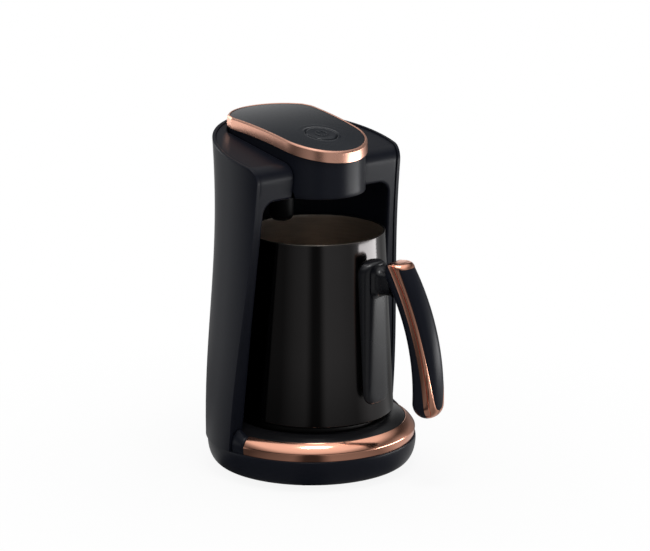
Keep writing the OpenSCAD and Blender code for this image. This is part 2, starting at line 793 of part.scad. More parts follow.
// The grip's side view: a bowed bar with a level top, a rounded tip and a cut-back corner
module grip_side() {
    half = grip_t / 2;
    tip_drop = grip_tip_z + half - grip_upright_z;
    tip = [grip_c[0] + sqrt(pow(grip_arc_r, 2) - pow(tip_drop, 2)), grip_c[1] + tip_drop];
    difference() {
        union() {
            difference() {
                translate(grip_c) circle(grip_arc_r + half, $fn = fine);
                translate(grip_c) circle(grip_arc_r - half, $fn = fine);
                translate([-2 * reach, -3 * reach]) square([6 * reach, tip[1] + 3 * reach]);
            }
            translate(tip) circle(half);
        }
        translate([-2 * reach, pot_z + grip_top_z]) square([6 * reach, 2 * reach]);
        translate([-4 * reach, 0]) square([4 * reach + 1, 2 * reach]);
        translate([0, pot_z + grip_top_z - 14]) square([grip_top_in, 40]);
    }
}

// The grip's section, bent along its arc
module grip_bar() {
    rotate([90, 0, -90]) translate([grip_c[0], grip_c[1], 0])
        rotate([0, 0, -30]) rotate_extrude(angle = 80, $fn = fine)
            translate([grip_arc_r, 0]) rounded_square([grip_t, grip_w], grip_edge);
}

module grip_solid() {
    intersection() {
        grip_bar();
        handle_slab(grip_w + 10) grip_side();
    }
}

// Everything on the pot's side of a line along the grip, d outwards from the inlay's middle
module inside_inlay(d) {
    handle_slab(grip_w + 20) translate(inlay_c) circle(inlay_arc_r + d, $fn = fine);
}

// The half that faces the pot carries the arm's end
module grip_inner() color(satin_black) at_handle() intersection() {
    grip_solid();
    inside_inlay(-inlay_w / 2);
}

// The outer half is let into the inlay, which wraps over its two ends
module outer_insert() {
    difference() {
        intersection() {
            grip_solid();
            handle_slab(grip_w + 10) translate([0, pot_z + grip_tip_z + inlay_cap])
                square([reach, grip_top_z - grip_tip_z - 2 * inlay_cap]);
        }
        inside_inlay(inlay_w / 2);
    }
}

module grip_outer() color(satin_black) at_handle() outer_insert();

// A bright band between the two halves shows on both sides, the top and the tip
module handle_trim() color(rose_gold) at_handle() difference() {
    grip_solid();
    inside_inlay(-inlay_w / 2);
    outer_insert();
}

module handle_arm() color(gloss_black) at_handle() difference() {
    translate([0, -bracket_reach, pot_z + arm_z]) rotate([90, 0, 0])
        linear_extrude(grip_top_in - bracket_reach + 16) rounded_square([arm_w, arm_h], arm_w / 2 - 0.5);
    grip_solid();
}

// ---------------------------------------------------------------- drawing

rubber_feet();
bottom_cover();
base_screws();
base_casing();
cord_bush();
power_board();
power_relay();
heat_shield();
heating_element();
thermostat();
plate_gasket();
hot_plate();
base_deck();
base_ring_trim();
rear_shell();
shell_screws();
front_frame();
head_housing();
head_screws();
overflow_probe();
probe_lens();
lid_trim();
top_panel();
light_guide();
control_board();
board_screws();
button_switch();
buzzer();
power_button();
pot_body();
pot_disc();
handle_bracket();
handle_arm();
grip_inner();
grip_outer();
handle_trim();
handle_screws();
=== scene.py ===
# %% [markdown]
# # A maker for pot coffee
# This lesson dresses an exact model of an electric coffee maker: a waisted black tower with an
# open bay, a heated base with a rose gold ring, a sloped head with one button, and a pot that
# lifts out. The exact model gives every piece its place. Each cell replaces one visible piece
# with a smoother, softer-edged mesh, or gives a piece its finish.

# %% Load the exact model
import json
from math import asin, atan2, cos, exp, hypot, pi, radians, sin, sqrt, tan

import bmesh
import bpy
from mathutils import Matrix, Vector


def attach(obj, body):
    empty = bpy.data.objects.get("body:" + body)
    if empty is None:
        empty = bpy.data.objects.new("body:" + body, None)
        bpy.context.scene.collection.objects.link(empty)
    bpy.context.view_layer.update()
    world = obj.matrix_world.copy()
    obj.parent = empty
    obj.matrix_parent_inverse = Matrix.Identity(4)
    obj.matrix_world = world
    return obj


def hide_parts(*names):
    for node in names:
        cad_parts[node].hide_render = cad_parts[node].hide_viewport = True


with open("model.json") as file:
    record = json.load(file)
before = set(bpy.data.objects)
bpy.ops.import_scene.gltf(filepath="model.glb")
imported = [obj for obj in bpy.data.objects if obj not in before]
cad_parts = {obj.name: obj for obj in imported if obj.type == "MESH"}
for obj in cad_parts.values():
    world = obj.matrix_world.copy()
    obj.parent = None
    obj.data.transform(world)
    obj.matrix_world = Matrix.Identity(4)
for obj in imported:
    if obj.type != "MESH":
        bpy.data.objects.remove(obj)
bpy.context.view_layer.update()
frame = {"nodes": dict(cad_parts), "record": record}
scene = bpy.context.scene

# %% [markdown]
# ## Camera
# The camera stands on the machine's front left, a little above it, some two metres away with a
# long lens, so that upright edges stay nearly upright. A Track To constraint could aim it at a
# target, but then the picture shifts whenever the target does. So it is given a place, and two
# angles that say which way it looks: a turn round the machine and a rise above the table.

# %% Camera
CAMERA_TURN = radians(-40)
CAMERA_RISE = radians(14.35)
CAMERA_AT = Vector((-1.26308, -1.52019, 0.64328))
SENSOR, LENS = 36, 158.74    # millimetres
NEAREST, FARTHEST = 0.05, 20    # metres


def direction(turn, rise):
    """The direction at a turn from the front, to the right, and a rise above the level."""
    return Vector((sin(turn) * cos(rise), -cos(turn) * cos(rise), sin(rise)))


camera = bpy.data.objects.new("camera", bpy.data.cameras.new("camera"))
scene.collection.objects.link(camera)
camera.location = CAMERA_AT
camera.rotation_mode = "QUATERNION"
camera.rotation_quaternion = direction(CAMERA_TURN, CAMERA_RISE).to_track_quat("Z", "Y")
camera.data.sensor_width, camera.data.lens = SENSOR, LENS
camera.data.clip_start, camera.data.clip_end = NEAREST, FARTHEST
scene.camera = camera
scene.view_settings.view_transform = "Standard"
print(f"camera: {CAMERA_AT.length:.2f} m from the foot's middle, with a lens of {LENS} mm")

# %% [markdown]
# ## Writing shaders as sums
# A finish is a small network of nodes. `Wire` holds one socket and lets Python's own operators
# add the Math nodes, so that `0.3 + 0.1 * grain` reads as it works. `Network` holds the nodes of
# a material or of the sky: its `add` makes any node, with its settings first and then its sockets.
# `Finish` is the network of one material, and its `feed` joins wires to the shader.

# %% Wire and Finish
class Wire:
    """One output socket, for sums and products written as Python."""

    def __init__(self, network, socket):
        self.network = network
        self.socket = socket

    def math(self, operation, *values):
        return self.network.add("ShaderNodeMath", {"operation": operation}, dict(enumerate(values)))

    def __add__(self, other):
        return self.math("ADD", self, other)

    def __radd__(self, other):
        return self.math("ADD", other, self)

    def __sub__(self, other):
        return self.math("SUBTRACT", self, other)

    def __rsub__(self, other):
        return self.math("SUBTRACT", other, self)

    def __mul__(self, other):
        return self.math("MULTIPLY", self, other)

    def __rmul__(self, other):
        return self.math("MULTIPLY", other, self)


class Network:
    """The nodes of one material or of the sky."""

    def __init__(self, tree):
        self.tree = tree

    def add(self, kind, settings=None, sockets=None, out=0):
        node = self.tree.nodes.new(kind)
        for name, value in (settings or {}).items():
            if name == "stops":
                self.set_stops(node.color_ramp.elements, value)
            else:
                setattr(node, name, value)
        for name, value in (sockets or {}).items():
            self.join(value, node.inputs[name])
        return Wire(self, node.outputs[out])

    def join(self, value, socket):
        if isinstance(value, Wire):
            self.tree.links.new(value.socket, socket)
        else:
            socket.default_value = value

    @staticmethod
    def set_stops(marks, stops):
        while len(marks) < len(stops):
            marks.new(1.0)
        for mark, (at, grey) in zip(marks, stops):
            mark.position = at
            mark.color = (grey, grey, grey, 1)

    def steps(self, value, stops):
        """A ramp through (place, grey) stops."""
        return self.add("ShaderNodeValToRGB", {"stops": stops}, {"Fac": value}, out="Color")


class Finish(Network):
    """One material, with its shader's fixed values set as it is made."""

    def __init__(self, name, **fixed):
        self.material = bpy.data.materials.new(name)
        self.material.use_nodes = True
        super().__init__(self.material.node_tree)
        self.shader = self.tree.nodes["Principled BSDF"]
        for socket, value in fixed.items():
            self.shader.inputs[socket.replace("_", " ")].default_value = value

    def feed(self, **values):
        for name, value in values.items():
            self.join(value, self.shader.inputs[name.replace("_", " ")])

    def place(self, scale=(1, 1, 1)):
        """The point on the surface, in metres, stretched by scale."""
        where = self.add("ShaderNodeTexCoord", out="Object")
        return self.add("ShaderNodeVectorMath", {"operation": "MULTIPLY"}, {0: where, 1: scale})

    def noise(self, size, scale=(1, 1, 1), detail=2.0):
        """Cloudy values from 0 to 1, with clouds about `size` metres wide."""
        return self.add("ShaderNodeTexNoise", None,
                        {"Vector": self.place(scale), "Scale": 1 / size, "Detail": detail}, out="Fac")

    def bump(self, height, depth):
        """A normal that rises and falls by `depth` metres with height."""
        return self.add("ShaderNodeBump", None, {"Height": height, "Distance": depth, "Strength": 1.0})

    def between(self, mask, low, high):
        """A colour that runs from low to high as the mask goes from 0 to 1."""
        sockets = {"Factor": mask, 6: (*low, 1), 7: (*high, 1)}    # 6 and 7 are the two colours
        return self.add("ShaderNodeMix", {"data_type": "RGBA"}, sockets, out=2)


print("shader helpers:", [kind.__name__ for kind in (Wire, Network, Finish)])

# %% [markdown]
# ## Finishes
# The black casing is spark-textured plastic: almost smooth, with a grain of a third of a
# millimetre that only softens its reflections, and slow clouds in its gloss where hands touch it.
# The grain goes through a Bump node and the clouds through Roughness, because those are what a
# mould and a thumb change on the real part.

# %% Plastics
CLOUD_SIZE, CLOUD_GLOSS = 0.045, 0.04    # the clouds' width in metres, and how far they change the gloss
GRAIN_SIZE = 0.00035


def plastic(name, colour, rough, grain_depth, coat=0.0, shine=0.25):
    finish = Finish(name, Coat_Weight=coat, Coat_Roughness=0.08, IOR=1.48, Specular_IOR_Level=shine)
    clouds = finish.noise(CLOUD_SIZE)
    grain = finish.noise(GRAIN_SIZE, detail=1.0)
    paler = tuple(c * 1.25 + 0.001 for c in colour)
    finish.feed(Base_Color=finish.between(clouds, colour, paler),
                Roughness=rough - CLOUD_GLOSS + 2 * CLOUD_GLOSS * clouds,
                Normal=finish.bump(grain, grain_depth))
    return finish.material


SATIN = plastic("satin_black", (0.0056, 0.0066, 0.0108), 0.32, 0.000010, shine=0.14)
LID = plastic("lid_black", (0.008, 0.0102, 0.0145), 0.20, 0.000003, shine=0.3)
GLOSS = plastic("gloss_black", (0.0040, 0.0043, 0.0062), 0.27, 0.000002, shine=0.45)
DECK = plastic("deck_black", (0.0055, 0.0055, 0.0065), 0.30, 0.000006)
# The probe's black is darker than the rest: painted shade for the shadow under the bay's ceiling.
PROBE_SHADED = plastic("probe_shaded_black", (0.0025, 0.0025, 0.003), 0.5, 0.00001, shine=0.06)
MILKY = plastic("milky", (0.62, 0.65, 0.70), 0.35, 0.000004)
RUBBER = plastic("rubber", (0.012, 0.012, 0.012), 0.72, 0.00003)
LENS_RED = plastic("lens_red", (0.08, 0.004, 0.004), 0.08, 0.000001, coat=1.0)
print("plastics:", [m.name for m in (SATIN, LID, GLOSS, DECK, PROBE_SHADED, MILKY, RUBBER, LENS_RED)])

# %% [markdown]
# Plated trim is a mirror with a colour: metal all over, a low roughness and a very slight
# orange-peel, which keeps long reflections from looking ruled. Brushed steel is the same metal
# with lines: noise that is squeezed along one axis turns into scratches across it.

# %% Metals
PEEL_SIZE, SMEAR_SIZE, PATCH_SIZE = 0.006, 0.02, 0.03    # metres


def plated(name, colour, rough, peel=0.000004):
    finish = Finish(name, Metallic=1.0)
    peel_waves = finish.noise(PEEL_SIZE, detail=1.0)
    smears = finish.noise(SMEAR_SIZE)
    finish.feed(Base_Color=finish.between(smears, colour, tuple(0.93 * c for c in colour)),
                Roughness=rough + 0.05 * smears,
                Normal=finish.bump(peel_waves, peel))
    return finish.material


def brushed(name, colour, rough, depth, scale, size=0.004):
    finish = Finish(name, Metallic=1.0)
    lines = finish.noise(size, scale, detail=6.0)
    patches = finish.noise(PATCH_SIZE)
    finish.feed(Base_Color=finish.between(lines, tuple(0.75 * c for c in colour), colour),
                Roughness=rough + 0.12 * lines + 0.05 * patches,
                Normal=finish.bump(lines, depth))
    return finish.material


ROSE_GOLD = plated("rose_gold", (1.0, 0.49, 0.34), 0.14, peel=0.000002)
SATIN_GOLD = plated("satin_gold", (1.0, 0.54, 0.40), 0.25, peel=0.000002)
NICKEL = plated("black_nickel", (0.056, 0.053, 0.053), 0.10, peel=0.000001)
RIM = plated("polished_rim", (0.11, 0.10, 0.09), 0.25)
POT_INSIDE = brushed("pot_inside", (0.86, 0.77, 0.69), 0.24, 0.00006, (0.5, 0.5, 6), 0.008)
STEEL = brushed("bright_steel", (0.60, 0.60, 0.61), 0.28, 0.000004, (1, 1, 14))
PLATE = brushed("plate_coat", (0.035, 0.034, 0.034), 0.42, 0.000006, (1, 1, 1), 0.0008)
print("metals:", [m.name for m in (ROSE_GOLD, SATIN_GOLD, NICKEL, RIM, POT_INSIDE, STEEL, PLATE)])

# %% [markdown]
# The circuit boards sit inside and show only when a cover is off. Green lacquer over copper gets
# its tracks from a brick pattern, which is nothing but straight lines at a set pitch.

# %% Circuit board
BRICKS_PER_METRE, TRACK_WIDTH, TRACK_DEPTH = 180.0, 0.06, 0.00003

board = Finish("board_green", Coat_Weight=0.3, Coat_Roughness=0.1)
tracks = board.add("ShaderNodeTexBrick", {"offset": 0.5},
                   {"Vector": board.place(), "Scale": BRICKS_PER_METRE, "Mortar Size": TRACK_WIDTH}, out="Fac")
board.feed(Base_Color=board.between(tracks, (0.012, 0.10, 0.045), (0.03, 0.22, 0.10)),
           Roughness=0.3 + 0.1 * tracks,
           Normal=board.bump(tracks, TRACK_DEPTH))
BOARD = board.material
print("board:", BOARD.name)

# %% [markdown]
# ## Meshes from rows of points
# Nearly every piece here is a sheet: rows of points that run along the piece, joined by four-sided
# faces. `sheet` joins the rows, and can close them on themselves in either direction. Modelling
# by hand would give the same faces, but rows that come from a formula can be changed by one number.

# %% Points, rows and sheets
def along(low, high, steps):
    """Evenly spaced values from low to high, both included."""
    return [low + (high - low) * i / steps for i in range(steps + 1)]


def mix(a, b, t):
    """The point a share t of the way from a to b."""
    return tuple(p + (q - p) * t for p, q in zip(a, b))


def bend(a, b, c, steps=4):
    """Points on the curve that leaves a and reaches c, drawn towards b."""
    a, b, c = Vector(a), Vector(b), Vector(c)
    return [tuple((1 - t) ** 2 * a + 2 * t * (1 - t) * b + t * t * c) for t in along(0, 1, steps)]


def eased(radius, depth):
    """How far a rounded edge of this radius stands back at a depth from the edge."""
    return radius - sqrt(max(0, radius ** 2 - (radius - depth) ** 2)) if depth < radius else 0.0


def sheet(rows, loop=False, ring=False):
    """Points and faces from equal rows; loop joins each row's ends, ring joins the last row to the first."""
    width = len(rows[0])
    points = [p for row in rows for p in row]
    faces = []
    for i in range(len(rows) if ring else len(rows) - 1):
        here, there = i * width, (i + 1) % len(rows) * width
        for j in range(width if loop else width - 1):
            k = (j + 1) % width
            faces.append((here + j, here + k, there + k, there + j))
    return points, faces


def capped(rows):
    """A sheet whose rows close on themselves, with both its ends filled."""
    points, faces = sheet(rows, loop=True)
    width = len(rows[0])
    return points, faces + [tuple(range(width)), tuple(range(len(points) - width, len(points)))]


def turned(profile, steps, centre=(0, 0)):
    """A closed (radius, height) profile turned round an upright axis."""
    rows = []
    for i in range(steps):
        a = 2 * pi * i / steps
        rows.append([(centre[0] + r * cos(a), centre[1] + r * sin(a), z) for r, z in profile])
    return sheet(rows, loop=True, ring=True)


def join_meshes(*parts):
    """Several (points, faces) pairs as one."""
    points, faces = [], []
    for more_points, more_faces in parts:
        first = len(points)
        points += more_points
        faces += [tuple(first + i for i in face) for face in more_faces]
    return points, faces


def mirrored(part):
    """A (points, faces) pair and its mirror image in X."""
    points, faces = part
    twin = [(-x, y, z) for x, y, z in points], [face[::-1] for face in faces]
    return join_meshes(part, twin)


print("a square of four points:", sheet([[(0, 0, 0), (1, 0, 0)], [(0, 1, 0), (1, 1, 0)]])[1])

# %% [markdown]
# `piece` turns millimetres into metres, welds the seams and shades the result smooth. An Edge
# Split modifier could keep the sharp edges sharp, but it cuts the mesh open. Marking each edge by
# its angle keeps the mesh whole, so a closed piece stays closed.

# %% From a sheet to a piece
MM = 0.001
WELD = 0.004 * MM
SHARP = radians(38)


def piece(name, part, material, body, node, sharp=SHARP):
    """A mesh object from millimetres, riding on a body and standing for a node of the exact model."""
    points, faces = part
    mesh = bpy.data.meshes.new(name)
    mesh.from_pydata([Vector(p) * MM for p in points], [], faces)
    work = bmesh.new()
    work.from_mesh(mesh)
    bmesh.ops.remove_doubles(work, verts=work.verts, dist=WELD)
    bmesh.ops.dissolve_degenerate(work, edges=work.edges, dist=WELD / 2)
    bmesh.ops.recalc_face_normals(work, faces=work.faces)
    for face in work.faces:
        face.smooth = True
    for edge in work.edges:
        edge.smooth = len(edge.link_faces) != 2 or edge.calc_face_angle(0) < sharp
    open_edges = sum(len(edge.link_faces) != 2 for edge in work.edges)
    work.to_mesh(mesh)
    work.free()
    obj = bpy.data.objects.new(name, mesh)
    scene.collection.objects.link(obj)
    mesh.materials.append(material)
    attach(obj, body)
    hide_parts(node)
    print(f"{name}: {len(mesh.polygons)} faces, {open_edges} open edges")
    return obj


print("edges stay sharp from", round(SHARP, 2), "radians")

# %% [markdown]
# ## The tower's shape
# Two surfaces make the tower. Seen from above it is round, with a radius that swells and draws in
# like a cosine. Seen from the side it is cut by a leaning front and a sloped top, which a 10 mm
# roll joins. Every edge below is where these two meet, so both are written once, as functions.

# %% The tower's two curves
SEAM_Z = 22.0
SHELL_R, SHELL_FLARE, FLARE_Z, WAIST_Z = 72.4, 4.0, 30.0, 195.0
SHELL_T, SHELL_LIP, TIGHT = 2.5, 0.8, 0.15
SHOULDER_H, FRONT_Y, ROLL_R = 225.0, 20.6, 10.0
SLOPE, LEAN = radians(12), radians(5.9)
BAY_Y, BAY_R, BAY_TOP, BAY_CORNER, BAY_TAPER = 5.0, 58.2, 201.5, 9.0, radians(1.95)

TURN_TOP, TURN_FRONT = pi / 2 + SLOPE, pi + LEAN
ROLL_LENGTH = ROLL_R * (TURN_FRONT - TURN_TOP)
TOP_N = Vector((cos(TURN_TOP), sin(TURN_TOP)))
FRONT_N = Vector((cos(TURN_FRONT), sin(TURN_FRONT)))
ROLL_AT = Vector((-FRONT_Y, SHOULDER_H)) - ROLL_R * (TOP_N + FRONT_N) / (1 + TOP_N.dot(FRONT_N))


def shell_at(z):
    """The tower's outer radius at a height."""
    return SHELL_R + SHELL_FLARE * cos(pi * (z - FLARE_Z) / (WAIST_Z - FLARE_Z))


def side(w, grow=0.0):
    """(y, z) on the side view at arc length w: negative up the front, then the roll, then the shoulder."""
    if w < 0:
        at = ROLL_AT + (ROLL_R + grow) * FRONT_N + w * Vector((-sin(LEAN), cos(LEAN)))
    elif w < ROLL_LENGTH:
        turn = TURN_FRONT - w / ROLL_R
        at = ROLL_AT + (ROLL_R + grow) * Vector((cos(turn), sin(turn)))
    else:
        at = ROLL_AT + (ROLL_R + grow) * TOP_N + (w - ROLL_LENGTH) * Vector((cos(SLOPE), sin(SLOPE)))
    return at.x, at.y


def front_at(z):
    """How far back the leaning front is at a height."""
    return -FRONT_Y + (SHOULDER_H - z) * tan(LEAN)


def shoulder_at(y, grow=0.0):
    """The height of the sloped top at a distance back."""
    return SHOULDER_H + (y + FRONT_Y) * tan(SLOPE) + grow / cos(SLOPE)


def front_w(z, grow=0.0):
    """The arc length at which the leaning front is at height z."""
    return (z - side(0, grow)[1]) / cos(LEAN)


def bay_at(z):
    """The radius of the bay's wall at a height."""
    return BAY_R + (BAY_TOP - z) * tan(BAY_TAPER)


print("shell radius at the seam and the waist:", round(shell_at(SEAM_Z), 1), round(shell_at(WAIST_Z), 1))

# %% [markdown]
# ## Rear shell
# The shell wraps the back and the sides, 2.5 mm thick, and its rim stands 0.8 mm proud of the
# frame. It could be cut from a tube with a Boolean, but the cut would leave thin triangles that
# spoil a glossy rim. So the mesh starts at the rim: each row begins on it, runs down the skin to
# the seam, and comes back up inside. The rim's soft edge is then just four more points a row.

# %% The shell's rim
FACE_STEPS, ROLL_STEPS, TOP_STEPS = 44, 16, 72


def rim(inset):
    """Points along half the shell's rim, from the front's foot over the roll to the middle of the back."""
    low = front_w(SEAM_Z, SHELL_LIP)
    points = []
    for w in along(low, 0, FACE_STEPS) + along(0, ROLL_LENGTH, ROLL_STEPS)[1:]:
        y, z = side(w, SHELL_LIP)
        points.append((sqrt((shell_at(z) - inset) ** 2 - y * y), y, z))
    x, y, z = points[-1]
    start = atan2(y, x)
    for turn in along(start, pi / 2, TOP_STEPS)[1:]:
        for _ in range(12):    # radius and height depend on each other, so they settle in turns
            radius = shell_at(z) - inset
            z = shoulder_at(radius * sin(turn), SHELL_LIP)
        points.append((radius * cos(turn), radius * sin(turn), z))
    return points


print("rim's highest point:", round(rim(0)[-1][2], 1), "mm")

# %% [markdown]
# The rows fan out from the steep front edge to the middle of the back. Points crowd near the rim,
# where the light bends, and spread towards the seam, where the wall is plain.

# %% Rear shell
FANNED = 0.3    # the share of the seam that the rows from the front edge and the roll take


def skin(start, foot_turn, inset, gap):
    """Points on the shell's skin from near the rim down to the seam."""
    x, y, z = start
    turn = atan2(y, x)
    length = hypot((foot_turn - turn) * SHELL_R, z - SEAM_Z)
    first = min(0.5, gap / max(length, 0.01))
    points = []
    for k in along(0, 1, 26):
        share = first + (1 - first) * k ** 1.5
        height = z + (SEAM_Z - z) * share
        a = turn + (foot_turn - turn) * share
        radius = shell_at(height) - inset
        points.append((radius * cos(a), radius * sin(a), height))
    return points


def shell_half():
    outer, inner = rim(0), rim(SHELL_T)
    roll_end = FACE_STEPS + ROLL_STEPS
    front_foot = atan2(outer[0][1], outer[0][0])
    rows = []
    for i, (out, into) in enumerate(zip(outer, inner)):
        if i < roll_end:
            share = FANNED * (i / roll_end) ** 1.6
        else:
            share = FANNED + (1 - FANNED) * (i - roll_end) / TOP_STEPS
        foot = front_foot * (1 - share) + pi / 2 * share
        outside = skin(out, foot, 0, 0.9)
        inside = skin(into, foot, SHELL_T, 0.3)
        rows.append(outside[::-1] + bend(outside[0], out, mix(out, into, 0.34))[1:]
                    + bend(mix(out, into, 0.88), into, inside[0], 2) + inside[1:])
    return sheet(rows, loop=True)


piece("shell_skin", mirrored(shell_half()), SATIN, "machine", "rear_shell")

# %% [markdown]
# ## Front frame
# One moulding makes the shoulders, the front face, the bay and its ceiling. Laid flat it is a
# strip between two lines: outside, the line where it meets the shell; inside, the edge of the
# bay and then the edge of the well round the neck. The strip is bent over the side view, so the
# roll needs no work of its own. At the bay's edge each row turns in and follows the bay's wall
# round to the back. Beside the neck its edge is rounded, and that line catches the light.

# %% The frame's strip
NOSE_R, NOSE_Y, LID_BACK_R, LID_BACK_Y, FLARE = 34.2, 8.4, 44.5, 68.5, radians(3.25)
BACK_AT = LID_BACK_Y - LID_BACK_R
WELL_GAP, WELL_FOOT, WELL_ROLL, BAY_EDGE = 1.25, 1.2, 2.4, 1.8


def well_x(y):
    """Half the width of the well for the neck."""
    straight = (NOSE_Y * sin(FLARE) + NOSE_R - WELL_GAP) / cos(FLARE) + y * tan(FLARE)
    if y <= BACK_AT:
        return straight
    return min(straight, sqrt(max((LID_BACK_R - WELL_GAP) ** 2 - (y - BACK_AT) ** 2, 0)))


def frame_x(w):
    """Half the width of the frame, inside the shell."""
    y, z = side(w)
    return sqrt((shell_at(z) - SHELL_T - TIGHT) ** 2 - y * y)


def on_frame(x, w, sink=0.0):
    """A point on the frame, sunk under its surface."""
    y, z = side(w, -sink)
    return x, y, z


def frame_row(outer_w, inner, steps):
    """A row over the frame: up out of the gap beside the shell, then across to the inner point."""
    x = frame_x(outer_w)
    edge = bend(on_frame(x, outer_w, 0.6), on_frame(x, outer_w), on_frame(x - 0.6, outer_w), 3)
    across = [on_frame(x - 0.6 + (inner[0] - x + 0.6) * t, outer_w + (inner[1] - outer_w) * t)
              for t in along(0, 1, steps)]
    return [on_frame(x, outer_w, 3)] + edge + across[1:]


print("half the well's width at the nose and behind:", round(well_x(-FRONT_Y), 1), round(well_x(BACK_AT), 1))

# %% [markdown]
# The bay is a round pocket with a rounded top corner. A Boolean with a Bevel on its edge would do
# for a plain block, but this edge runs over a leaning face and into a ceiling. Here each row simply
# turns the corner, so the soft edge has the same width all the way round.

# %% Bay
BAY_FOOT_Z = 30.0
FAN_CORNER, FAN_TOP = 12.0, 4.0    # how far up the shell the rows round the corner and along the top spread
FAN_END = BAY_TOP - BAY_CORNER + FAN_CORNER + FAN_TOP


def bay_rows():
    """Rows that end on the bay's edge, turn in, and follow the bay's wall or ceiling to the back."""
    wall_z = BAY_TOP - BAY_CORNER
    wall_r = bay_at(wall_z)
    ceiling_y = front_at(BAY_TOP)
    well_edge = well_x(ceiling_y) + WELL_FOOT
    marks = [(bay_at(z), z, (1, 0), front_w(z)) for z in along(BAY_FOOT_Z, wall_z, 40)]
    for a in along(0, pi / 2, 10)[1:]:
        marks.append((wall_r - BAY_CORNER + BAY_CORNER * cos(a), wall_z + BAY_CORNER * sin(a),
                      (cos(a), sin(a)), front_w(wall_z + FAN_CORNER * a / (pi / 2))))
    low = sqrt((wall_r - BAY_CORNER) ** 2 - (ceiling_y + BAY_Y) ** 2)
    for t in along(0, 1, 8)[1:]:
        marks.append((hypot(low + (well_edge - low) * t, ceiling_y + BAY_Y), BAY_TOP, (0, 1),
                      front_w(wall_z + FAN_CORNER + FAN_TOP * t)))
    rows = []
    for radius, z, away, outer_w in marks:
        y = front_at(z)
        x = sqrt(radius ** 2 - (y + BAY_Y) ** 2)
        w = front_w(z)
        start = (x + BAY_EDGE * away[0], w + BAY_EDGE * away[1])
        deep = y + BAY_EDGE + BAY_Y
        if away == (0, 1):
            radius = hypot(x, deep)
        first = asin(deep / radius)
        wall = [(radius * cos(a), radius * sin(a) - BAY_Y, z) for a in along(first, pi / 2, 30)]
        rows.append(frame_row(outer_w, start, 14) + bend(on_frame(*start), (x, y, z), wall[0])[1:] + wall[1:])
    rest = []    # the middle of the ceiling
    for share in along(1, 0, 12):
        r = radius * share
        first = asin(max(-1, deep / max(r, 0.01)))
        rest.append([(r * cos(a), r * sin(a) - BAY_Y, BAY_TOP) for a in along(first, pi / 2, 30)])
    return join_meshes(sheet(rows), sheet(rest))


bay = bay_rows()
print("bay:", len(bay[1]), "faces on each side")

# %% [markdown]
# The neck stands in a well, and the frame rolls down into it. The roll is wide on the shoulders,
# where it draws a soft line of light, and tight on the front face.

# %% Well
FRAME_BACK_Y = 66.4
FAN_REACH = 12.0    # how far past the roll the rows have come level again


def well_rows():
    """Rows that end beside the neck and roll down into the well."""
    first, merge = front_w(BAY_TOP) + BAY_EDGE, ROLL_LENGTH + FAN_REACH
    last = ROLL_LENGTH + (FRAME_BACK_Y - side(ROLL_LENGTH)[0]) / cos(SLOPE)
    rows = []
    for w in along(first, 0, 6) + along(0, ROLL_LENGTH, 14)[1:] + along(ROLL_LENGTH, last, 60)[1:]:
        outer_w = w + (front_w(FAN_END) - first) * max(0, 1 - (w - first) / (merge - first))
        x = well_x(side(w)[0])
        room = max(frame_x(outer_w) - x - 1, 0.2)
        radius = min(WELL_ROLL, WELL_FOOT + (WELL_ROLL - WELL_FOOT) * max(0, w) / ROLL_LENGTH, room)
        roll = [on_frame(x + radius * (1 - sin(a)), w, radius * (1 - cos(a))) for a in along(0, pi / 2, 8)]
        rows.append(frame_row(outer_w, (x + radius, w), 10) + roll[1:] + [on_frame(x, w, radius + 5)])
    return sheet(rows)


well = well_rows()
print("well:", len(well[1]), "faces on each side")

# %% [markdown]
# A small block closes the gap between each pillar and the end of the bright ring. It is a profile
# swept round the machine's axis and lowered as it goes, with its two ends eased.

# %% Toes and the whole moulding
TOE_IN, TOE_EDGE_Z, TOE_TOP_Z, TOE_FALL, TOE_END = 67.5, 29.3, 37.6, 4.4, radians(-9.85)
TOE_SOFT, TOE_SOFT_SHARE = 0.7, 0.12


def rounded(corners, steps=5):
    """A closed line with rounded corners; each corner is (x, y, radius)."""
    points = []
    count = len(corners)
    for i, (x, y, radius) in enumerate(corners):
        here = Vector((x, y))
        into = (Vector(corners[i - 1][:2]) - here)
        out = (Vector(corners[(i + 1) % count][:2]) - here)
        reach = min(radius, 0.49 * into.length, 0.49 * out.length)
        points += bend(here + into.normalized() * reach, here, here + out.normalized() * reach, steps)
    return points


def toe():
    """The black block between the pillar and the end of the bright ring."""
    rows = []
    for t in along(0, 1, 12):
        soft = TOE_SOFT / TOE_SOFT_SHARE * eased(TOE_SOFT_SHARE, min(t, 1 - t))
        top = TOE_TOP_Z - TOE_FALL * t - soft
        cheek = TOE_EDGE_Z + (top - TOE_EDGE_Z) * 0.72
        corners = [(TOE_IN, SEAM_Z, 0.2), (74.4 - soft, SEAM_Z, 0.5), (75.1 - soft, TOE_EDGE_Z, 3.5),
                   (72.6 - soft, cheek, 3), (70.2 - soft, top, 2.0), (TOE_IN, top, 0.3)]
        row = []
        for r, z in rounded(corners):
            near = asin((front_at(z) - SHELL_LIP) / r)
            a = near + (TOE_END - near) * t
            row.append((r * cos(a), r * sin(a), z))
        rows.append(row)
    return capped(rows)


moulding = join_meshes(bay, well, toe())
piece("front_moulding", mirrored(moulding), SATIN, "machine", "front_frame")

# %% [markdown]
# ## Head
# The neck, the bright band and the panel share one outline: a round nose, two sides that flare by
# a few degrees and a curved back. `lid_line` draws half of it, drawn in by any amount and always
# with the same number of points, so that a row can pass from one inset to the next.

# %% The lid's outline and its crown
CROWN_R, CROWN_Y, CROWN_H, BAND_H, BAND_W = 426.0, 73.5, 251.0, 8.0, 2.2
LID_CORNER = 4.0


def crown_at(y):
    """Height of the lid's top, which is curved from front to back."""
    return CROWN_H - CROWN_R + sqrt(CROWN_R ** 2 - (y - CROWN_Y) ** 2)


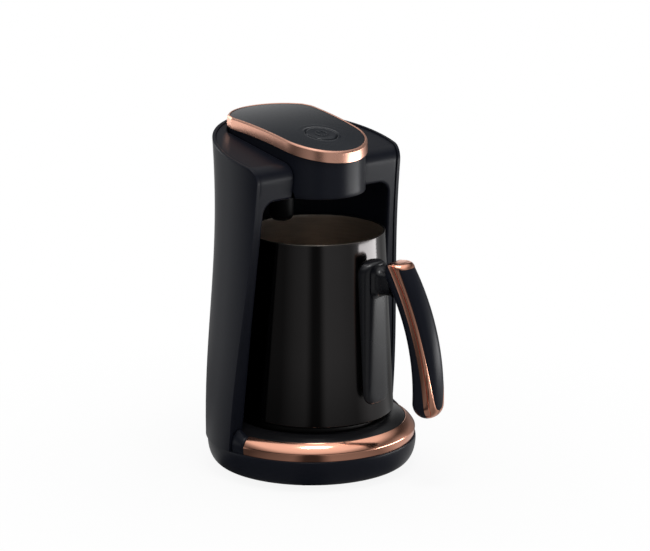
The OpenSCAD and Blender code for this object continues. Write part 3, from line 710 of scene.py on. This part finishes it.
def lid_line(inset):
    """Half the lid's outline, from the tip of the nose to the middle of the back, with its corner cut flat."""
    nose, back_r = NOSE_R - inset, LID_BACK_R - inset
    points = [Vector((nose * sin(a), -NOSE_Y - nose * cos(a))) for a in along(0, pi / 2 - FLARE, 44)]
    ahead = Vector((sin(FLARE), cos(FLARE)))
    off = points[-1] - Vector((0, BACK_AT))
    length = -off.dot(ahead) + sqrt(off.dot(ahead) ** 2 - off.length_squared + back_r ** 2)
    meet = points[-1] + length * ahead
    start = points[-1]
    points += [start + (length - LID_CORNER) * t * ahead for t in along(0, 1, 18)[1:]]
    turn = atan2(meet.y - BACK_AT, meet.x) + LID_CORNER / back_r
    after = Vector((back_r * cos(turn), BACK_AT + back_r * sin(turn)))
    points += [points[-1] + (after - points[-1]) * t for t in along(0, 1, 4)[1:]]
    points += [Vector((back_r * cos(a), BACK_AT + back_r * sin(a))) for a in along(turn, pi / 2, 26)[1:]]
    return [(p.x, p.y) for p in points]


print("half the lid's outline:", len(lid_line(0)), "points")

# %% [markdown]
# The neck drops from the lid to the level of the bay's ceiling, and its lower edge is rounded. It
# could be the outline extruded and bevelled. Behind the front face it is hidden in the well, so
# there it stops short and has no underside.

# %% Neck
NECK_INSET, NECK_SOFT, NECK_LAP = 1.4, 1.2, 0.2
HIDDEN_Y, HIDDEN_Z = -18.2, 205.0    # where the well begins to hide the neck, and where it stops in there


def neck_half():
    rows = []
    edge = [(NECK_SOFT, 0.0), (0.35, 0.35), (0.0, NECK_SOFT)]    # (inset, rise)
    lines = [lid_line(NECK_INSET + inset) for inset, _ in edge]
    for i, (x, y) in enumerate(lines[-1]):
        low = BAY_TOP if y < HIDDEN_Y else HIDDEN_Z
        top = crown_at(y) - BAND_H + NECK_LAP
        foot = [(line[i][0], line[i][1], low + rise) for line, (_, rise) in zip(lines, edge)]
        rows.append(foot + [(x, y, z) for z in along(low + NECK_SOFT, top, 10)[1:]])
    under = [[(x * t, y, BAY_TOP) for t in along(1, 0, 6)] for x, y in lines[0] if y < HIDDEN_Y]
    return join_meshes(sheet(rows), sheet(under))


piece("neck", mirrored(neck_half()), SATIN, "machine", "head_housing")

# %% [markdown]
# The bright band is a folded strip. What shows in the photograph is a thin light line along its
# top, so the section has a flat bevel there, and each edge is kept sharp by its angle. Behind, the
# band's lower edge follows the shoulder.

# %% Lid band
# (inset, depth below the crown)
BAND_SECTION = [(0.3, BAND_H), (0.0, 7.8), (0.0, 7.2), (0.25, 1.1), (0.4, 0.8), (0.95, 0.06), (1.1, 0.0),
                (1.9, 0.0), (BAND_W, 0.2), (BAND_W, BAND_H)]


def band_half():
    lines = [lid_line(inset) for inset, _ in BAND_SECTION]
    rows = []
    for i in range(len(lines[0])):
        row = []
        for line, (_, depth) in zip(lines, BAND_SECTION):
            x, y = line[i]
            row.append((x, y, max(crown_at(y) - depth, shoulder_at(y, SHELL_LIP + TIGHT))))
        rows.append(row)
    return sheet(rows, loop=True)


piece("lid_band", mirrored(band_half()), SATIN_GOLD, "machine", "lid_trim", sharp=radians(13))

# %% [markdown]
# ## Panel and button
# The panel has a hole for the button with two shallow ripples round it, which catch crescent
# highlights. A bump texture could draw them, but it would not bend the outline of a highlight as
# a real ripple does. A round grid about the button makes them exact: rays run from the hole to
# the band, and only the height changes along them.

# %% Top panel
BUTTON_R, BUTTON_Y, HOLE_GAP = 11.1, -11.0, 0.1
PANEL_DROP, PANEL_SIDE, PANEL_EDGE = 0.3, 2.2, 0.3
RIPPLE_END, RAYS = 21.0, 240
RIPPLES = [(12.5, 0.22, 0.7), (17.0, 0.04, 1.2)]    # (radius, height, width)


def to_line(line, turn):
    """Distance from the button's centre to a closed outline, in one direction."""
    dx, dy = cos(turn), sin(turn)
    best = 0.0
    for (x1, y1), (x2, y2) in zip(line, line[1:] + line[:1]):
        ex, ey = x2 - x1, y2 - y1
        cross = dx * ey - dy * ex
        if abs(cross) < 1e-9:
            continue
        far = (x1 * ey - (y1 - BUTTON_Y) * ex) / cross
        part = (x1 * dy - (y1 - BUTTON_Y) * dx) / cross
        if far > 0 and -1e-6 <= part <= 1 + 1e-6:
            best = max(best, far)
    return best


def ripple(r):
    """Height of the ripples round the button."""
    return sum(height * exp(-((r - radius) / width) ** 2) for radius, height, width in RIPPLES)


def panel():
    half = lid_line(BAND_W + TIGHT)
    line = half + [(-x, y) for x, y in half[-2:0:-1]]
    hole = BUTTON_R + HOLE_GAP
    rows = []
    for i in range(RAYS):
        turn = 2 * pi * i / RAYS
        edge = to_line(line, turn)
        marks = [(hole, PANEL_SIDE), (hole, 0.6), (hole + 0.1, 0.3), (hole + 0.35, 0.1), (hole + 0.8, 0.0)]
        marks += [(r, 0.0) for r in along(hole + 1.0, RIPPLE_END, 26)]
        marks += [(r, 0.0) for r in along(RIPPLE_END, edge - PANEL_EDGE - 0.05, 16)[1:]]
        marks += [(edge - PANEL_EDGE, 0.0), (edge - 0.08, 0.08), (edge, PANEL_EDGE), (edge, PANEL_SIDE)]
        row = []
        for r, down in marks:
            x, y = r * cos(turn), BUTTON_Y + r * sin(turn)
            row.append((x, y, crown_at(y) - PANEL_DROP - down + ripple(r)))
        rows.append(row)
    return sheet(rows, ring=True)


piece("lid_panel", panel(), LID, "machine", "top_panel")

# %% [markdown]
# The button is a turned cap with a slightly hollow face, tilted with the slope of the lid. The
# sign on it is the plain one for on and off: an open circle and a stroke. A text or a curve with a
# bevel could stand for it, but a ridge that follows the hollow face has no gap under it.

# %% Push button
TILT = asin((CROWN_Y - BUTTON_Y) / CROWN_R)
FACE_R, HOLLOW = BUTTON_R - 1.2, 0.22
RIDGE_W, RIDGE_H, RIDGE_ROOT = 0.95, 0.36, -0.3
SIGN_R, SIGN_GAP, STROKE = 4.4, radians(32), (1.2, 6.0)


def on_button(x, y, z):
    """A point in the button's own frame, whose z = 0 is the lid's top."""
    return x, BUTTON_Y + y * cos(TILT) - z * sin(TILT), crown_at(BUTTON_Y) + y * sin(TILT) + z * cos(TILT)


def face_at(r):
    """Height of the button's hollow face."""
    return -HOLLOW * (1 - (r / FACE_R) ** 2)


def cap():
    profile = [(0.02, -3.2), (BUTTON_R, -3.2), (BUTTON_R, -1.0), (BUTTON_R - 0.08, -0.55),
               (BUTTON_R - 0.3, -0.2), (BUTTON_R - 0.7, -0.02), (FACE_R, 0.0)]
    profile += [(r, face_at(r)) for r in along(FACE_R - 0.6, 0.02, 14)]
    points, faces = turned(profile, 120)
    return [on_button(*p) for p in points], faces


def ridge(path):
    """A rounded ridge along a path on the button's face."""
    section = [(-1, RIDGE_ROOT), (-0.9, RIDGE_H * 0.6), (-0.5, RIDGE_H), (0.5, RIDGE_H), (0.9, RIDGE_H * 0.6),
               (1, RIDGE_ROOT)]
    rows = []
    for i, (x, y) in enumerate(path):
        before, after = path[max(i - 1, 0)], path[min(i + 1, len(path) - 1)]
        dx, dy = after[0] - before[0], after[1] - before[1]
        length = hypot(dx, dy)
        end = 0.45 if i in (0, len(path) - 1) else 1.0
        aside_x, aside_y = -dy / length * RIDGE_W / 2 * end, dx / length * RIDGE_W / 2 * end
        face = face_at(hypot(x, y))
        rows.append([on_button(x + aside_x * s, y + aside_y * s, face + h * end) for s, h in section])
    return capped(rows)


ring_path = [(SIGN_R * sin(a), SIGN_R * cos(a)) for a in along(SIGN_GAP, 2 * pi - SIGN_GAP, 48)]
sign = join_meshes(ridge(ring_path), ridge([(0, y) for y in along(*STROKE, 6)]))
piece("button_cap", join_meshes(cap(), sign), LID, "button", "power_button")

# %% [markdown]
# ## Base
# The foot, the bright ring, the deck and the plate are all turned round an axis, as they would be
# on a lathe. Each is a profile of radius and height with its corners rounded by half a
# millimetre or so, because a moulded or pressed edge is never a knife edge.

# %% Foot and ring
FOOT_R, FOOT_BOW, FOOT_RISE, FOOT_T, PAD_H = 75.0, 8.5, 16.0, 2.5, 3.0
RING_R, RING_IN, RING_SIDE_Z, RING_TOP_Z, RING_BOW = 74.6, 67.5, 27.3, 34.5, 0.6
RING_FROM, RING_TO = radians(190.05), radians(349.95)


def foot_profile():
    """The casing: out and up the bowed wall, over the step at the seam, and down inside."""
    bow_in = FOOT_R - FOOT_BOW
    wall = [(bow_in + FOOT_BOW * sin(a), PAD_H + FOOT_RISE * (1 - cos(a))) for a in along(0, pi / 2, 24)]
    wall += [(74.9, 20.6), (74.75, 21.6), (74.5, 21.9), (74.1, SEAM_Z), (66.8, SEAM_Z), (66.8, 32), (52, 32),
             (52, 29.5), (62, 29.5), (62, 19.1)]
    inner = [(bow_in - FOOT_T + FOOT_BOW * sin(a), PAD_H + (FOOT_RISE + 0.1) * (1 - cos(a)))
             for a in along(pi / 2, 0, 12)]
    return wall + inner + [(bow_in - 2.1, PAD_H)]


def ring_profile():
    """The ring's section: an upright side, a soft corner and a slope that bows outwards."""
    slope = []
    for t in along(0, 1, 12):
        bow = RING_BOW * sin(pi * t)
        r, z = mix((RING_R, RING_SIDE_Z), (RING_IN, RING_TOP_Z), t)
        slope.append((r + bow, z + bow))
    corner = bend((RING_R - 0.1, RING_SIDE_Z - 0.6), (RING_R, RING_SIDE_Z), slope[1], 4)
    return [(RING_IN, SEAM_Z), (73.6, SEAM_Z), (73.95, 22.1), (74.1, 22.4)] + corner + slope[2:-1] + bend(
        slope[-2], slope[-1], (RING_IN, RING_TOP_Z - 0.6), 3)


def ring():
    """The ring's section swept round the front, from toe to toe."""
    return capped([[(r * cos(a), r * sin(a), z) for r, z in ring_profile()]
                   for a in along(RING_FROM, RING_TO, 160)])


piece("foot", turned(foot_profile(), 240), SATIN, "machine", "base_casing")
piece("base_ring", ring(), ROSE_GOLD, "machine", "base_ring_trim", sharp=radians(30))

# %% [markdown]
# The deck is a shallow dish round the plate. Behind, it has to stop at the bay's wall, which is
# round about another axis, so its outer radius changes with the direction. A Boolean could trim
# it there, but would leave that edge sharp.

# %% Deck and plate
PLATE_R, PLATE_TOP = 50.0, 40.0
DECK_IN, DECK_HIGH, DECK_LOW, DECK_UNDER = PLATE_R + 4.6, 37.3, 34.2, 32.0
MEETS_WALL_Z, MEETS_FACE_Z = 35, 37


def deck():
    full = RING_IN - TIGHT
    span = full - DECK_IN - 1
    rows = []
    for i in range(300):
        a = 2 * pi * i / 300
        to_wall = -BAY_Y * sin(a) + sqrt((bay_at(MEETS_WALL_Z) - TIGHT) ** 2 - (BAY_Y * cos(a)) ** 2)
        outer = full if full * sin(a) < front_at(MEETS_FACE_Z) - TIGHT else min(full, to_wall)
        profile = [(DECK_IN, DECK_UNDER), (DECK_IN, DECK_HIGH - 1), (DECK_IN + 0.25, DECK_HIGH - 0.3),
                   (DECK_IN + 0.8, DECK_HIGH)]
        profile += [(r, DECK_LOW + (DECK_HIGH - DECK_LOW) * sin(pi / 2 * (full - r) / span))
                    for r in along(DECK_IN + 1.2, outer - 0.3, 14)]
        profile += [(outer, profile[-1][1] - 0.3), (outer, DECK_UNDER)]
        rows.append([(r * cos(a), r * sin(a), z) for r, z in profile])
    return sheet(rows, loop=True, ring=True)


plate_profile = [(0.02, 33.5), (54, 33.5), (54, 35.1), (PLATE_R, 35.1), (PLATE_R, 39.1),
                 (PLATE_R - 0.25, 39.7), (PLATE_R - 0.9, PLATE_TOP), (0.02, PLATE_TOP)]
piece("deck", deck(), DECK, "machine", "base_deck")
piece("plate", turned(plate_profile, 240), PLATE, "machine", "hot_plate")

# %% [markdown]
# ## Pot
# The pot is drawn from one sheet: dark nickel outside, brushed and uncoated inside, with the
# sheet's thin edge a little lighter at the rim and a tight corner at the floor. Two shells, one in
# the other, could carry the two finishes, but their edges would have to match. Here one turned
# profile gives all of it, and each face takes its finish from the side of the sheet it is on.

# %% Pot
POT_AT = (0.0, -BAY_Y)
POT_Z, POT_H, POT_R, POT_RIM_R, POT_T = 41.5, 131.0, 55.5, 49.0, 1.2
POT_CORNER, RIM_SOFT = 2.0, 0.6
CONE = (POT_R - POT_RIM_R) / (POT_H - POT_CORNER - RIM_SOFT)


def pot_at(z):
    """The pot's outer radius at a height above the floor."""
    return POT_R - CONE * (z - POT_Z - POT_CORNER)


def pot_profile():
    """Up the outside, over the rim, down the inside and across the floor."""
    rim_z, floor = POT_Z + POT_H, POT_Z + 1.5
    within = POT_RIM_R - POT_T
    outside = [(0.02, POT_Z)]
    outside += [(POT_R - POT_CORNER * (1 - sin(a)), POT_Z + POT_CORNER * (1 - cos(a)))
                for a in along(0, pi / 2, 8)]
    outside += [(pot_at(z), z) for z in along(POT_Z + 4, rim_z - RIM_SOFT, 30)]
    edge = bend((POT_RIM_R, rim_z - RIM_SOFT), (POT_RIM_R - 0.02, rim_z), (POT_RIM_R - POT_T / 2, rim_z))[1:]
    edge += bend(edge[-1], (within, rim_z), (within, rim_z - RIM_SOFT))[1:]
    inside = [(pot_at(z) - POT_T, z) for z in along(rim_z - 3, floor + 6, 30)]
    inside += bend(inside[-1], (POT_R - POT_T, floor), (POT_R - POT_T - 6, floor), 6)[1:]
    return outside + edge + inside + [(0.02, floor)]


pot = piece("pot_wall", turned(pot_profile(), 240, POT_AT), NICKEL, "pot", "pot_body")
for material in (POT_INSIDE, RIM):
    pot.data.materials.append(material)
for face in pot.data.polygons:
    x, y, z = face.center / MM
    from_wall = hypot(x, y + BAY_Y) - (pot_at(z) - POT_T / 2)
    if z > POT_Z + POT_H - RIM_SOFT - 0.02:
        face.material_index = 2
    elif from_wall < 0 and z > POT_Z + 1:
        face.material_index = 1

print("pot's finishes:", [material.name for material in pot.data.materials])

# %% [markdown]
# Under the bay's ceiling hangs the round housing of a probe that looks for rising foam. It is
# turned like the base, with a rounded lower edge. Its black is the darkest and dullest of all: the
# darker colour is painted shade for the shadow it hangs in, and a low gloss keeps it from shining there.

# %% Probe
PROBE_AT = (-16, 14)
PROBE_R, PROBE_SOFT, PROBE_LOW = 8.7, 5.0, 178.5

probe_profile = [(3.5, PROBE_LOW + 1), (3.5, PROBE_LOW + 0.1)]
probe_profile += [(PROBE_R - PROBE_SOFT * (1 - sin(a)), PROBE_LOW + PROBE_SOFT * (1 - cos(a)))
                  for a in along(0, pi / 2, 12)]
probe_profile += [(PROBE_R, 204.5), (11, 204.5), (11, 206.4), (0.02, 206.4), (0.02, PROBE_LOW + 1)]
piece("probe", turned(probe_profile, 72, PROBE_AT), PROBE_SHADED, "machine", "overflow_probe")

# %% [markdown]
# ## Bracket and arm
# The handle is turned a little to the right, so its pieces are drawn in a frame of their own:
# `out` runs from the pot's axis through the grip, `across` runs to its side. The bracket is a
# cushion with rounded ends that follows the pot's cone behind and swells out in front. The arm is
# a bar with rounded corners that flares a little at both ends, where it meets its neighbours.

# %% Bracket and arm
HANDLE_TURN = radians(12.5)
OUT = Vector((sin(HANDLE_TURN), -cos(HANDLE_TURN), 0))
ACROSS = Vector((cos(HANDLE_TURN), sin(HANDLE_TURN), 0))
BRACKET_W, BRACKET_LOW, BRACKET_HIGH, BRACKET_FACE = 28.0, 54.5, 157.5, 57.0
BRACKET_ROUND, BRACKET_SOFT, SUNK = 9.0, 2.5, 0.3
CUSHION = 0.8    # 1 is an ellipse, less is squarer
ARM_Z, ARM_W, ARM_H, ARM_FROM, ARM_TO = 143.5, 14.0, 18.0, BRACKET_FACE - 0.5, BRACKET_FACE + 13.0


def on_handle(across, out, z):
    """A point given in the handle's own frame."""
    p = Vector((POT_AT[0], POT_AT[1], z)) + across * ACROSS + out * OUT
    return p.x, p.y, p.z


def bracket():
    middle = (BRACKET_LOW + BRACKET_HIGH) / 2
    half_h = (BRACKET_HIGH - BRACKET_LOW) / 2
    rows = []
    for t in along(-pi / 2, pi / 2, 72):
        z = middle + half_h * sin(t)
        depth = half_h - abs(z - middle)
        half_w = BRACKET_W / 2 - eased(BRACKET_ROUND, depth)
        face = BRACKET_FACE - eased(BRACKET_SOFT, depth)
        foot = sqrt(pot_at(z) ** 2 - half_w ** 2) - SUNK
        half = [(half_w * cos(a) ** CUSHION, foot + (face - foot) * sin(a) ** CUSHION)
                for a in along(0, pi / 2, 18)]
        loop = half + [(-a, b) for a, b in half[-2::-1]]
        rows.append([on_handle(a, b, z) for a, b in loop])
    return capped(rows)


def arm():
    rows = []
    for out in along(ARM_FROM, ARM_TO, 26):
        swell = 2.6 * exp((BRACKET_FACE - out) / 1.8) + 0.8 * exp((out - ARM_TO - 0.5) / 1.2)
        w, h = ARM_W / 2 + swell, ARM_H / 2 + swell
        corner = ARM_W / 2 - 0.5
        row = []
        for sx, sz, first in ((1, 1, 0), (-1, 1, 1), (-1, -1, 2), (1, -1, 3)):
            for a in along(first * pi / 2, (first + 1) * pi / 2, 8):
                across, up = sx * (w - corner) + corner * cos(a), sz * (h - corner) + corner * sin(a)
                row.append(on_handle(across, out, ARM_Z + up))
        rows.append(row)
    return sheet(rows, loop=True)


piece("bracket", bracket(), GLOSS, "pot", "handle_bracket")
piece("arm", arm(), GLOSS, "pot", "handle_arm")

# %% [markdown]
# ## Grip
# The grip is a bowed bar in three layers: a half that faces the pot, a bright band and an outer
# half let into the band. Each is cut from the same soft bar, whose half-width at any point of
# the side view follows from how near the point lies to the bar's outline. So a layer is a stack
# of level slices: for every height, points run from its inner line to its outer line and back.

# %% The grip's side view
GRIP_C, GRIP_ARC, GRIP_HALF_T = (-57.5, 68.0), 156.0, 10.5
GRIP_TOP, GRIP_TIP_Z, GRIP_HALF_W, GRIP_SOFT = 159.5, 62.0, 10.0, 2.4
GRIP_CUT, GRIP_CUT_Z, GRIP_CUT_SOFT = 67.0, 143.0, 3.0    # the side to the pot is upright above this height
GRIP_TIP = (GRIP_C[0] + sqrt(GRIP_ARC ** 2 - (GRIP_TIP_Z - GRIP_C[1]) ** 2), GRIP_TIP_Z)
GRIP_LOW = GRIP_TIP_Z - GRIP_HALF_T
INLAY_C, INLAY_ARC, INLAY_IN, INLAY_OUT, INLAY_CAP = (-138.4, 37.0), 245.0, -4.0, 2.75, 3.0


def arc_out(centre, radius, z):
    """Where an arc about a centre of the side view lies at a height."""
    return centre[0] + sqrt(max(0, radius ** 2 - (z - centre[1]) ** 2))


def grip_span(z):
    """The bar's inner and outer line at a height, with its top edge eased."""
    if z < GRIP_TIP_Z:
        half = sqrt(max(0, GRIP_HALF_T ** 2 - (z - GRIP_TIP_Z) ** 2))
        return GRIP_TIP[0] - half, GRIP_TIP[0] + half
    near = arc_out(GRIP_C, GRIP_ARC - GRIP_HALF_T, z)
    upright = min(1, max(0, (z - GRIP_CUT_Z) / 4))
    cut = GRIP_CUT * upright + near * (1 - upright)
    soft = eased(GRIP_SOFT, GRIP_TOP - z)
    return max(near, cut) + soft, arc_out(GRIP_C, GRIP_ARC + GRIP_HALF_T, z) - soft


def grip_half_width(out, z):
    """Half the bar's width where the side view is at (out, z)."""
    to_arc = hypot(out - GRIP_C[0], z - GRIP_C[1]) - GRIP_ARC
    depth = GRIP_HALF_T - abs(to_arc)
    if z < GRIP_TIP_Z:
        depth = GRIP_HALF_T - hypot(out - GRIP_TIP[0], z - GRIP_TIP_Z)
    width = GRIP_HALF_W * sqrt(max(0, 1 - (1 - max(depth, 0) / GRIP_HALF_T) ** 3))
    if z > GRIP_CUT_Z:
        width = min(width, GRIP_HALF_W - eased(GRIP_CUT_SOFT, max(0, out - grip_span(z)[0])))
    return width - 0.8 * eased(GRIP_SOFT, GRIP_TOP - z)


def crowded(low, high, steps):
    """Values from low to high, closer together near both."""
    return [low + (high - low) * (1 - cos(pi * t)) / 2 for t in along(0, 1, steps)]


print("grip:", round(GRIP_TOP - GRIP_LOW), "mm high, tip", [round(v, 1) for v in GRIP_TIP])

# %% [markdown]
# A layer has an inner and an outer line in the side view, and a swell that lets it stand proud of
# its neighbours or draw back at the seam. Two beveled blocks pushed together would meet in one
# hard line; a seam needs both edges to ease away from it, as two mouldings do.

# %% A layer of the grip
SEAM_DEPTH, SEAM_REACH = 0.45, 1.1


def layer(heights, lines, swell, places):
    """A layer of the grip between two lines, with points at these shares of the way across it."""
    rows = []
    for z in heights:
        near, far = lines(z)
        far = max(far, near + 0.05)
        half = []
        for t in places:
            out = near + (far - near) * t
            half.append((max(0.3, grip_half_width(out, z) + swell(t, far - near)), out))
        rows.append([on_handle(a, b, z) for a, b in half] + [on_handle(-a, b, z) for a, b in half[::-1]])
    return capped(rows)


def inlay_line(z, off):
    """The inlay's edge, off its middle line, kept within the bar."""
    near, far = grip_span(z)
    return min(max(arc_out(INLAY_C, INLAY_ARC + off, z), near), far)


def from_seam(away):
    """How far a layer draws back, this far from its seam."""
    return -SEAM_DEPTH * eased(SEAM_REACH, away) / SEAM_REACH


SPREAD = crowded(0, 1, 20)
print("points across a layer:", len(SPREAD))

# %% [markdown]
# The half that faces the pot ends on the band's inner line and is as tall as the bar. The outer
# half begins on the band's outer line and stops short of both ends, to leave room for the band's
# caps. A Boolean could part one bar in three, but each half would then keep a knife edge.

# %% The grip's two black halves
LOW_END, HIGH_END = GRIP_LOW + 0.01, GRIP_TOP - 0.01


def pot_side_lines(z):
    return grip_span(z)[0], inlay_line(z, INLAY_IN)


def outer_lines(z):
    return inlay_line(z, INLAY_OUT), grip_span(z)[1]


pot_side = layer(crowded(LOW_END, HIGH_END, 90),
                 pot_side_lines, lambda t, span: from_seam((1 - t) * span), SPREAD)
outer_side = layer(crowded(GRIP_LOW + INLAY_CAP, GRIP_TOP - INLAY_CAP, 90),
                   outer_lines, lambda t, span: from_seam(t * span), SPREAD)
piece("grip_pot_side", pot_side, SATIN, "pot", "grip_inner")
piece("grip_front", outer_side, SATIN, "pot", "grip_outer")

# %% [markdown]
# The band shows from the side as a bevel that rises outwards, a groove and a raised rim. Its
# section says where these lie across the band. A cap at the top and one at the tip close round
# the outer half, so that it looks let in.

# %% The grip's bright band
# share of the way across the band: how far it stands proud there
INLAY_SIDE = {0.0: -0.5, 0.03: -0.25, 0.5: 0.22, 0.56: 0.18, 0.58: -0.45, 0.64: -0.5, 0.66: 0.2, 0.72: 0.38,
              0.88: 0.4, 0.96: 0.3, 1.0: -0.1}
TOP_CAP_PROUD, TIP_CAP_PROUD, TOP_CAP_LAP = 0.35, 0.3, 0.4


def band_lines(z):
    return inlay_line(z, INLAY_IN), inlay_line(z, INLAY_OUT)


def top_cap_lines(z):
    return inlay_line(z, INLAY_OUT) - TOP_CAP_LAP, grip_span(z)[1]


def tip_cap_lines(z):
    return inlay_line(z, INLAY_IN), grip_span(z)[1]


trim = join_meshes(
    layer(crowded(GRIP_LOW + INLAY_CAP, HIGH_END, 90),
          band_lines, lambda t, span: INLAY_SIDE[t], list(INLAY_SIDE)),
    layer(along(GRIP_TOP - INLAY_CAP, HIGH_END, 12),
          top_cap_lines, lambda t, span: TOP_CAP_PROUD, SPREAD),
    layer(along(GRIP_LOW + 0.9, GRIP_LOW + INLAY_CAP, 8),
          tip_cap_lines, lambda t, span: TIP_CAP_PROUD, SPREAD))
piece("grip_band", trim, ROSE_GOLD, "pot", "handle_trim", sharp=radians(30))

# %% [markdown]
# ## Finishes for the pieces that stay exact
# What lies inside or underneath keeps its exact mesh. A bevel modifier would be wasted on pieces
# that a cover hides, but each still gets its own finish, for whoever takes the cover off.

# %% Finishes for the rest
FINISH_OF = {"satin_black": SATIN, "gloss_black": GLOSS, "rose_gold": ROSE_GOLD, "dark_steel": NICKEL,
             "plate_coat": PLATE, "bright_steel": STEEL, "rubber": RUBBER, "board_green": BOARD,
             "light_guide": MILKY, "lens": LENS_RED}
for part in frame["record"]["subparts"]:
    mesh = frame["nodes"][part["node"]].data
    mesh.materials.clear()
    mesh.materials.append(FINISH_OF[part["material_slot"]])

# %% [markdown]
# ## Studio
# The photograph has a plain white background and hardly any shadow, yet the black plastic stays
# black. That takes a room which is white behind the machine and mostly dark on the camera's side.
# So the camera sees white everywhere, and what mirrors see depends on the direction. One ramp goes
# round the compass, for the floor and the sky. Others dim the sky upwards, light it again
# overhead, and dim the floor near the machine, which is painted shade where its shadow would lie.

# %% What mirrors see
# Places on the compass from 0 to 1: the camera stands at 0.14 and the background at 0.64
ROUND_THE_ROOM = [(0.0, 0.09), (0.05, 0.22), (0.10, 0.30), (0.125, 0.06), (0.155, 0.06), (0.18, 0.42),
                  (0.24, 0.38), (0.30, 0.30), (0.36, 0.90), (0.46, 1.0), (0.50, 0.30), (0.60, 0.15),
                  (0.625, 1.0), (0.665, 1.0), (0.71, 0.32), (0.79, 0.45), (0.83, 0.95), (0.90, 0.90),
                  (0.94, 0.09)]
LOW_SKY = [(0.0, 1.0), (0.15, 0.9), (0.27, 0.45), (0.40, 0.20), (0.52, 0.08), (0.62, 0.0)]
TOP_SKY = [(0.50, 0.0), (0.62, 0.35), (0.74, 0.90), (1.0, 1.0)]
# Painted shade: mirrors see the floor darker close to the machine, by metres from its middle.
NEAR_FLOOR_SHADE = [(0.08, 0.60), (0.16, 0.50), (0.28, 0.55), (0.50, 1.0)]


def compass(network, toward):
    """The room's brightness, as seen in a mirror, by the level part of a direction."""
    turn = network.add("ShaderNodeTexGradient", {"gradient_type": "RADIAL"}, {"Vector": toward}, out="Fac")
    return network.steps(turn, ROUND_THE_ROOM)


def rays(network):
    """Wires that are 1 for camera, glossy and transmission rays."""
    kinds = ("Camera", "Glossy", "Transmission")
    return [network.add("ShaderNodeLightPath", out=f"Is {kind} Ray") for kind in kinds]


print("stops round the room:", len(ROUND_THE_ROOM))

# %% [markdown]
# The floor is white card. It shines by itself for the camera, so it stays white out to the
# horizon; close to the machine a tenth of it takes real light and keeps the soft shadow.

# %% Floor
SHINES_BY_ITSELF = [(0.0, 0.88), (0.1, 0.9), (0.35, 1.0)]    # metres from the middle, share of its own light
FLOOR_HALF, FLOOR_DROP = 9, 0.0005


def floor_finish():
    finish = Finish("floor_white", Roughness=0.9, Specular_IOR_Level=0.0, Base_Color=(0.93, 0.93, 0.93, 1))
    camera_ray, glossy_ray, clear_ray = rays(finish)
    far = finish.add("ShaderNodeVectorMath", {"operation": "LENGTH"}, {0: finish.place()}, out="Value")
    room = compass(finish, finish.place()) * finish.steps(far, NEAR_FLOOR_SHADE)
    glow = finish.add("ShaderNodeEmission", None, {"Color": camera_ray + clear_ray + glossy_ray * room})
    share = camera_ray * finish.steps(far, SHINES_BY_ITSELF) + glossy_ray + clear_ray
    card = Wire(finish, finish.shader.outputs[0])
    blend = finish.add("ShaderNodeMixShader", None, {0: share, 1: card, 2: glow})
    finish.join(blend, finish.tree.nodes["Material Output"].inputs[0])
    return finish.material


corners = [(x * FLOOR_HALF, y * FLOOR_HALF, -FLOOR_DROP) for x, y in ((-1, -1), (1, -1), (1, 1), (-1, 1))]
floor_mesh = bpy.data.meshes.new("floor")
floor_mesh.from_pydata(corners, [], [(0, 1, 2, 3)])
floor_mesh.materials.append(floor_finish())
floor = bpy.data.objects.new("floor", floor_mesh)
scene.collection.objects.link(floor)
print("floor:", 2 * FLOOR_HALF, "metres across")

# %% [markdown]
# The sky is white for the camera, the made-up room for mirrors, and a plain fill for everything
# else. The fill is what lights the matt surfaces, so it stays below white.

# %% Sky
SKY_FILL = 0.6

world = bpy.data.worlds.new("sky")
scene.world = world
world.use_nodes = True
sky = Network(world.node_tree)
camera_ray, glossy_ray, clear_ray = rays(sky)
toward = sky.add("ShaderNodeTexCoord", out="Generated")
height = sky.add("ShaderNodeSeparateXYZ", None, {0: toward}, out="Z")
mirrored_sky = compass(sky, toward) * sky.steps(height, LOW_SKY) + sky.steps(height, TOP_SKY)
seen = camera_ray + clear_ray + glossy_ray * mirrored_sky
plain = 1.0 - (camera_ray + clear_ray + glossy_ray)
backdrop = world.node_tree.nodes["Background"]
backdrop.inputs["Color"].default_value = (1, 1, 1, 1)
sky.join(seen + SKY_FILL * plain, backdrop.inputs["Strength"])
print("sky:", len(world.node_tree.nodes), "nodes")

# %% [markdown]
# The lamps are soft panels that the camera doesn't see. The front of the tower leans out towards
# the top, so it mirrors the floor: a low panel on the right draws the bright line on its rolled
# edge, on the neck and down the grip. One overhead makes the white patch on the base's ring, and
# one behind on the left lightens the shell's far edge.

# %% Lamps
def lamp(name, turn, rise, distance, width, height, watts, aim=0.13):
    """A soft panel aimed at a height on the machine's axis, from a turn and a rise in degrees."""
    data = bpy.data.lights.new(name, "AREA")
    data.shape = "RECTANGLE"
    data.size, data.size_y, data.energy = width, height, watts
    obj = bpy.data.objects.new(name, data)
    away = direction(radians(turn), radians(rise))
    obj.location = Vector((0, 0, aim)) + distance * away
    obj.rotation_mode = "QUATERNION"
    obj.rotation_quaternion = away.to_track_quat("Z", "Y")
    scene.collection.objects.link(obj)
    print(f"{name}: {watts} W, {distance} m away")


lamp("low_right", 52, 0, 0.6, 0.45, 0.10, 1.2, aim=0.065)
lamp("overhead", -30, 72, 0.9, 0.30, 0.16, 2.4)
lamp("back_left", -165, 20, 0.8, 0.25, 0.6, 1.2)
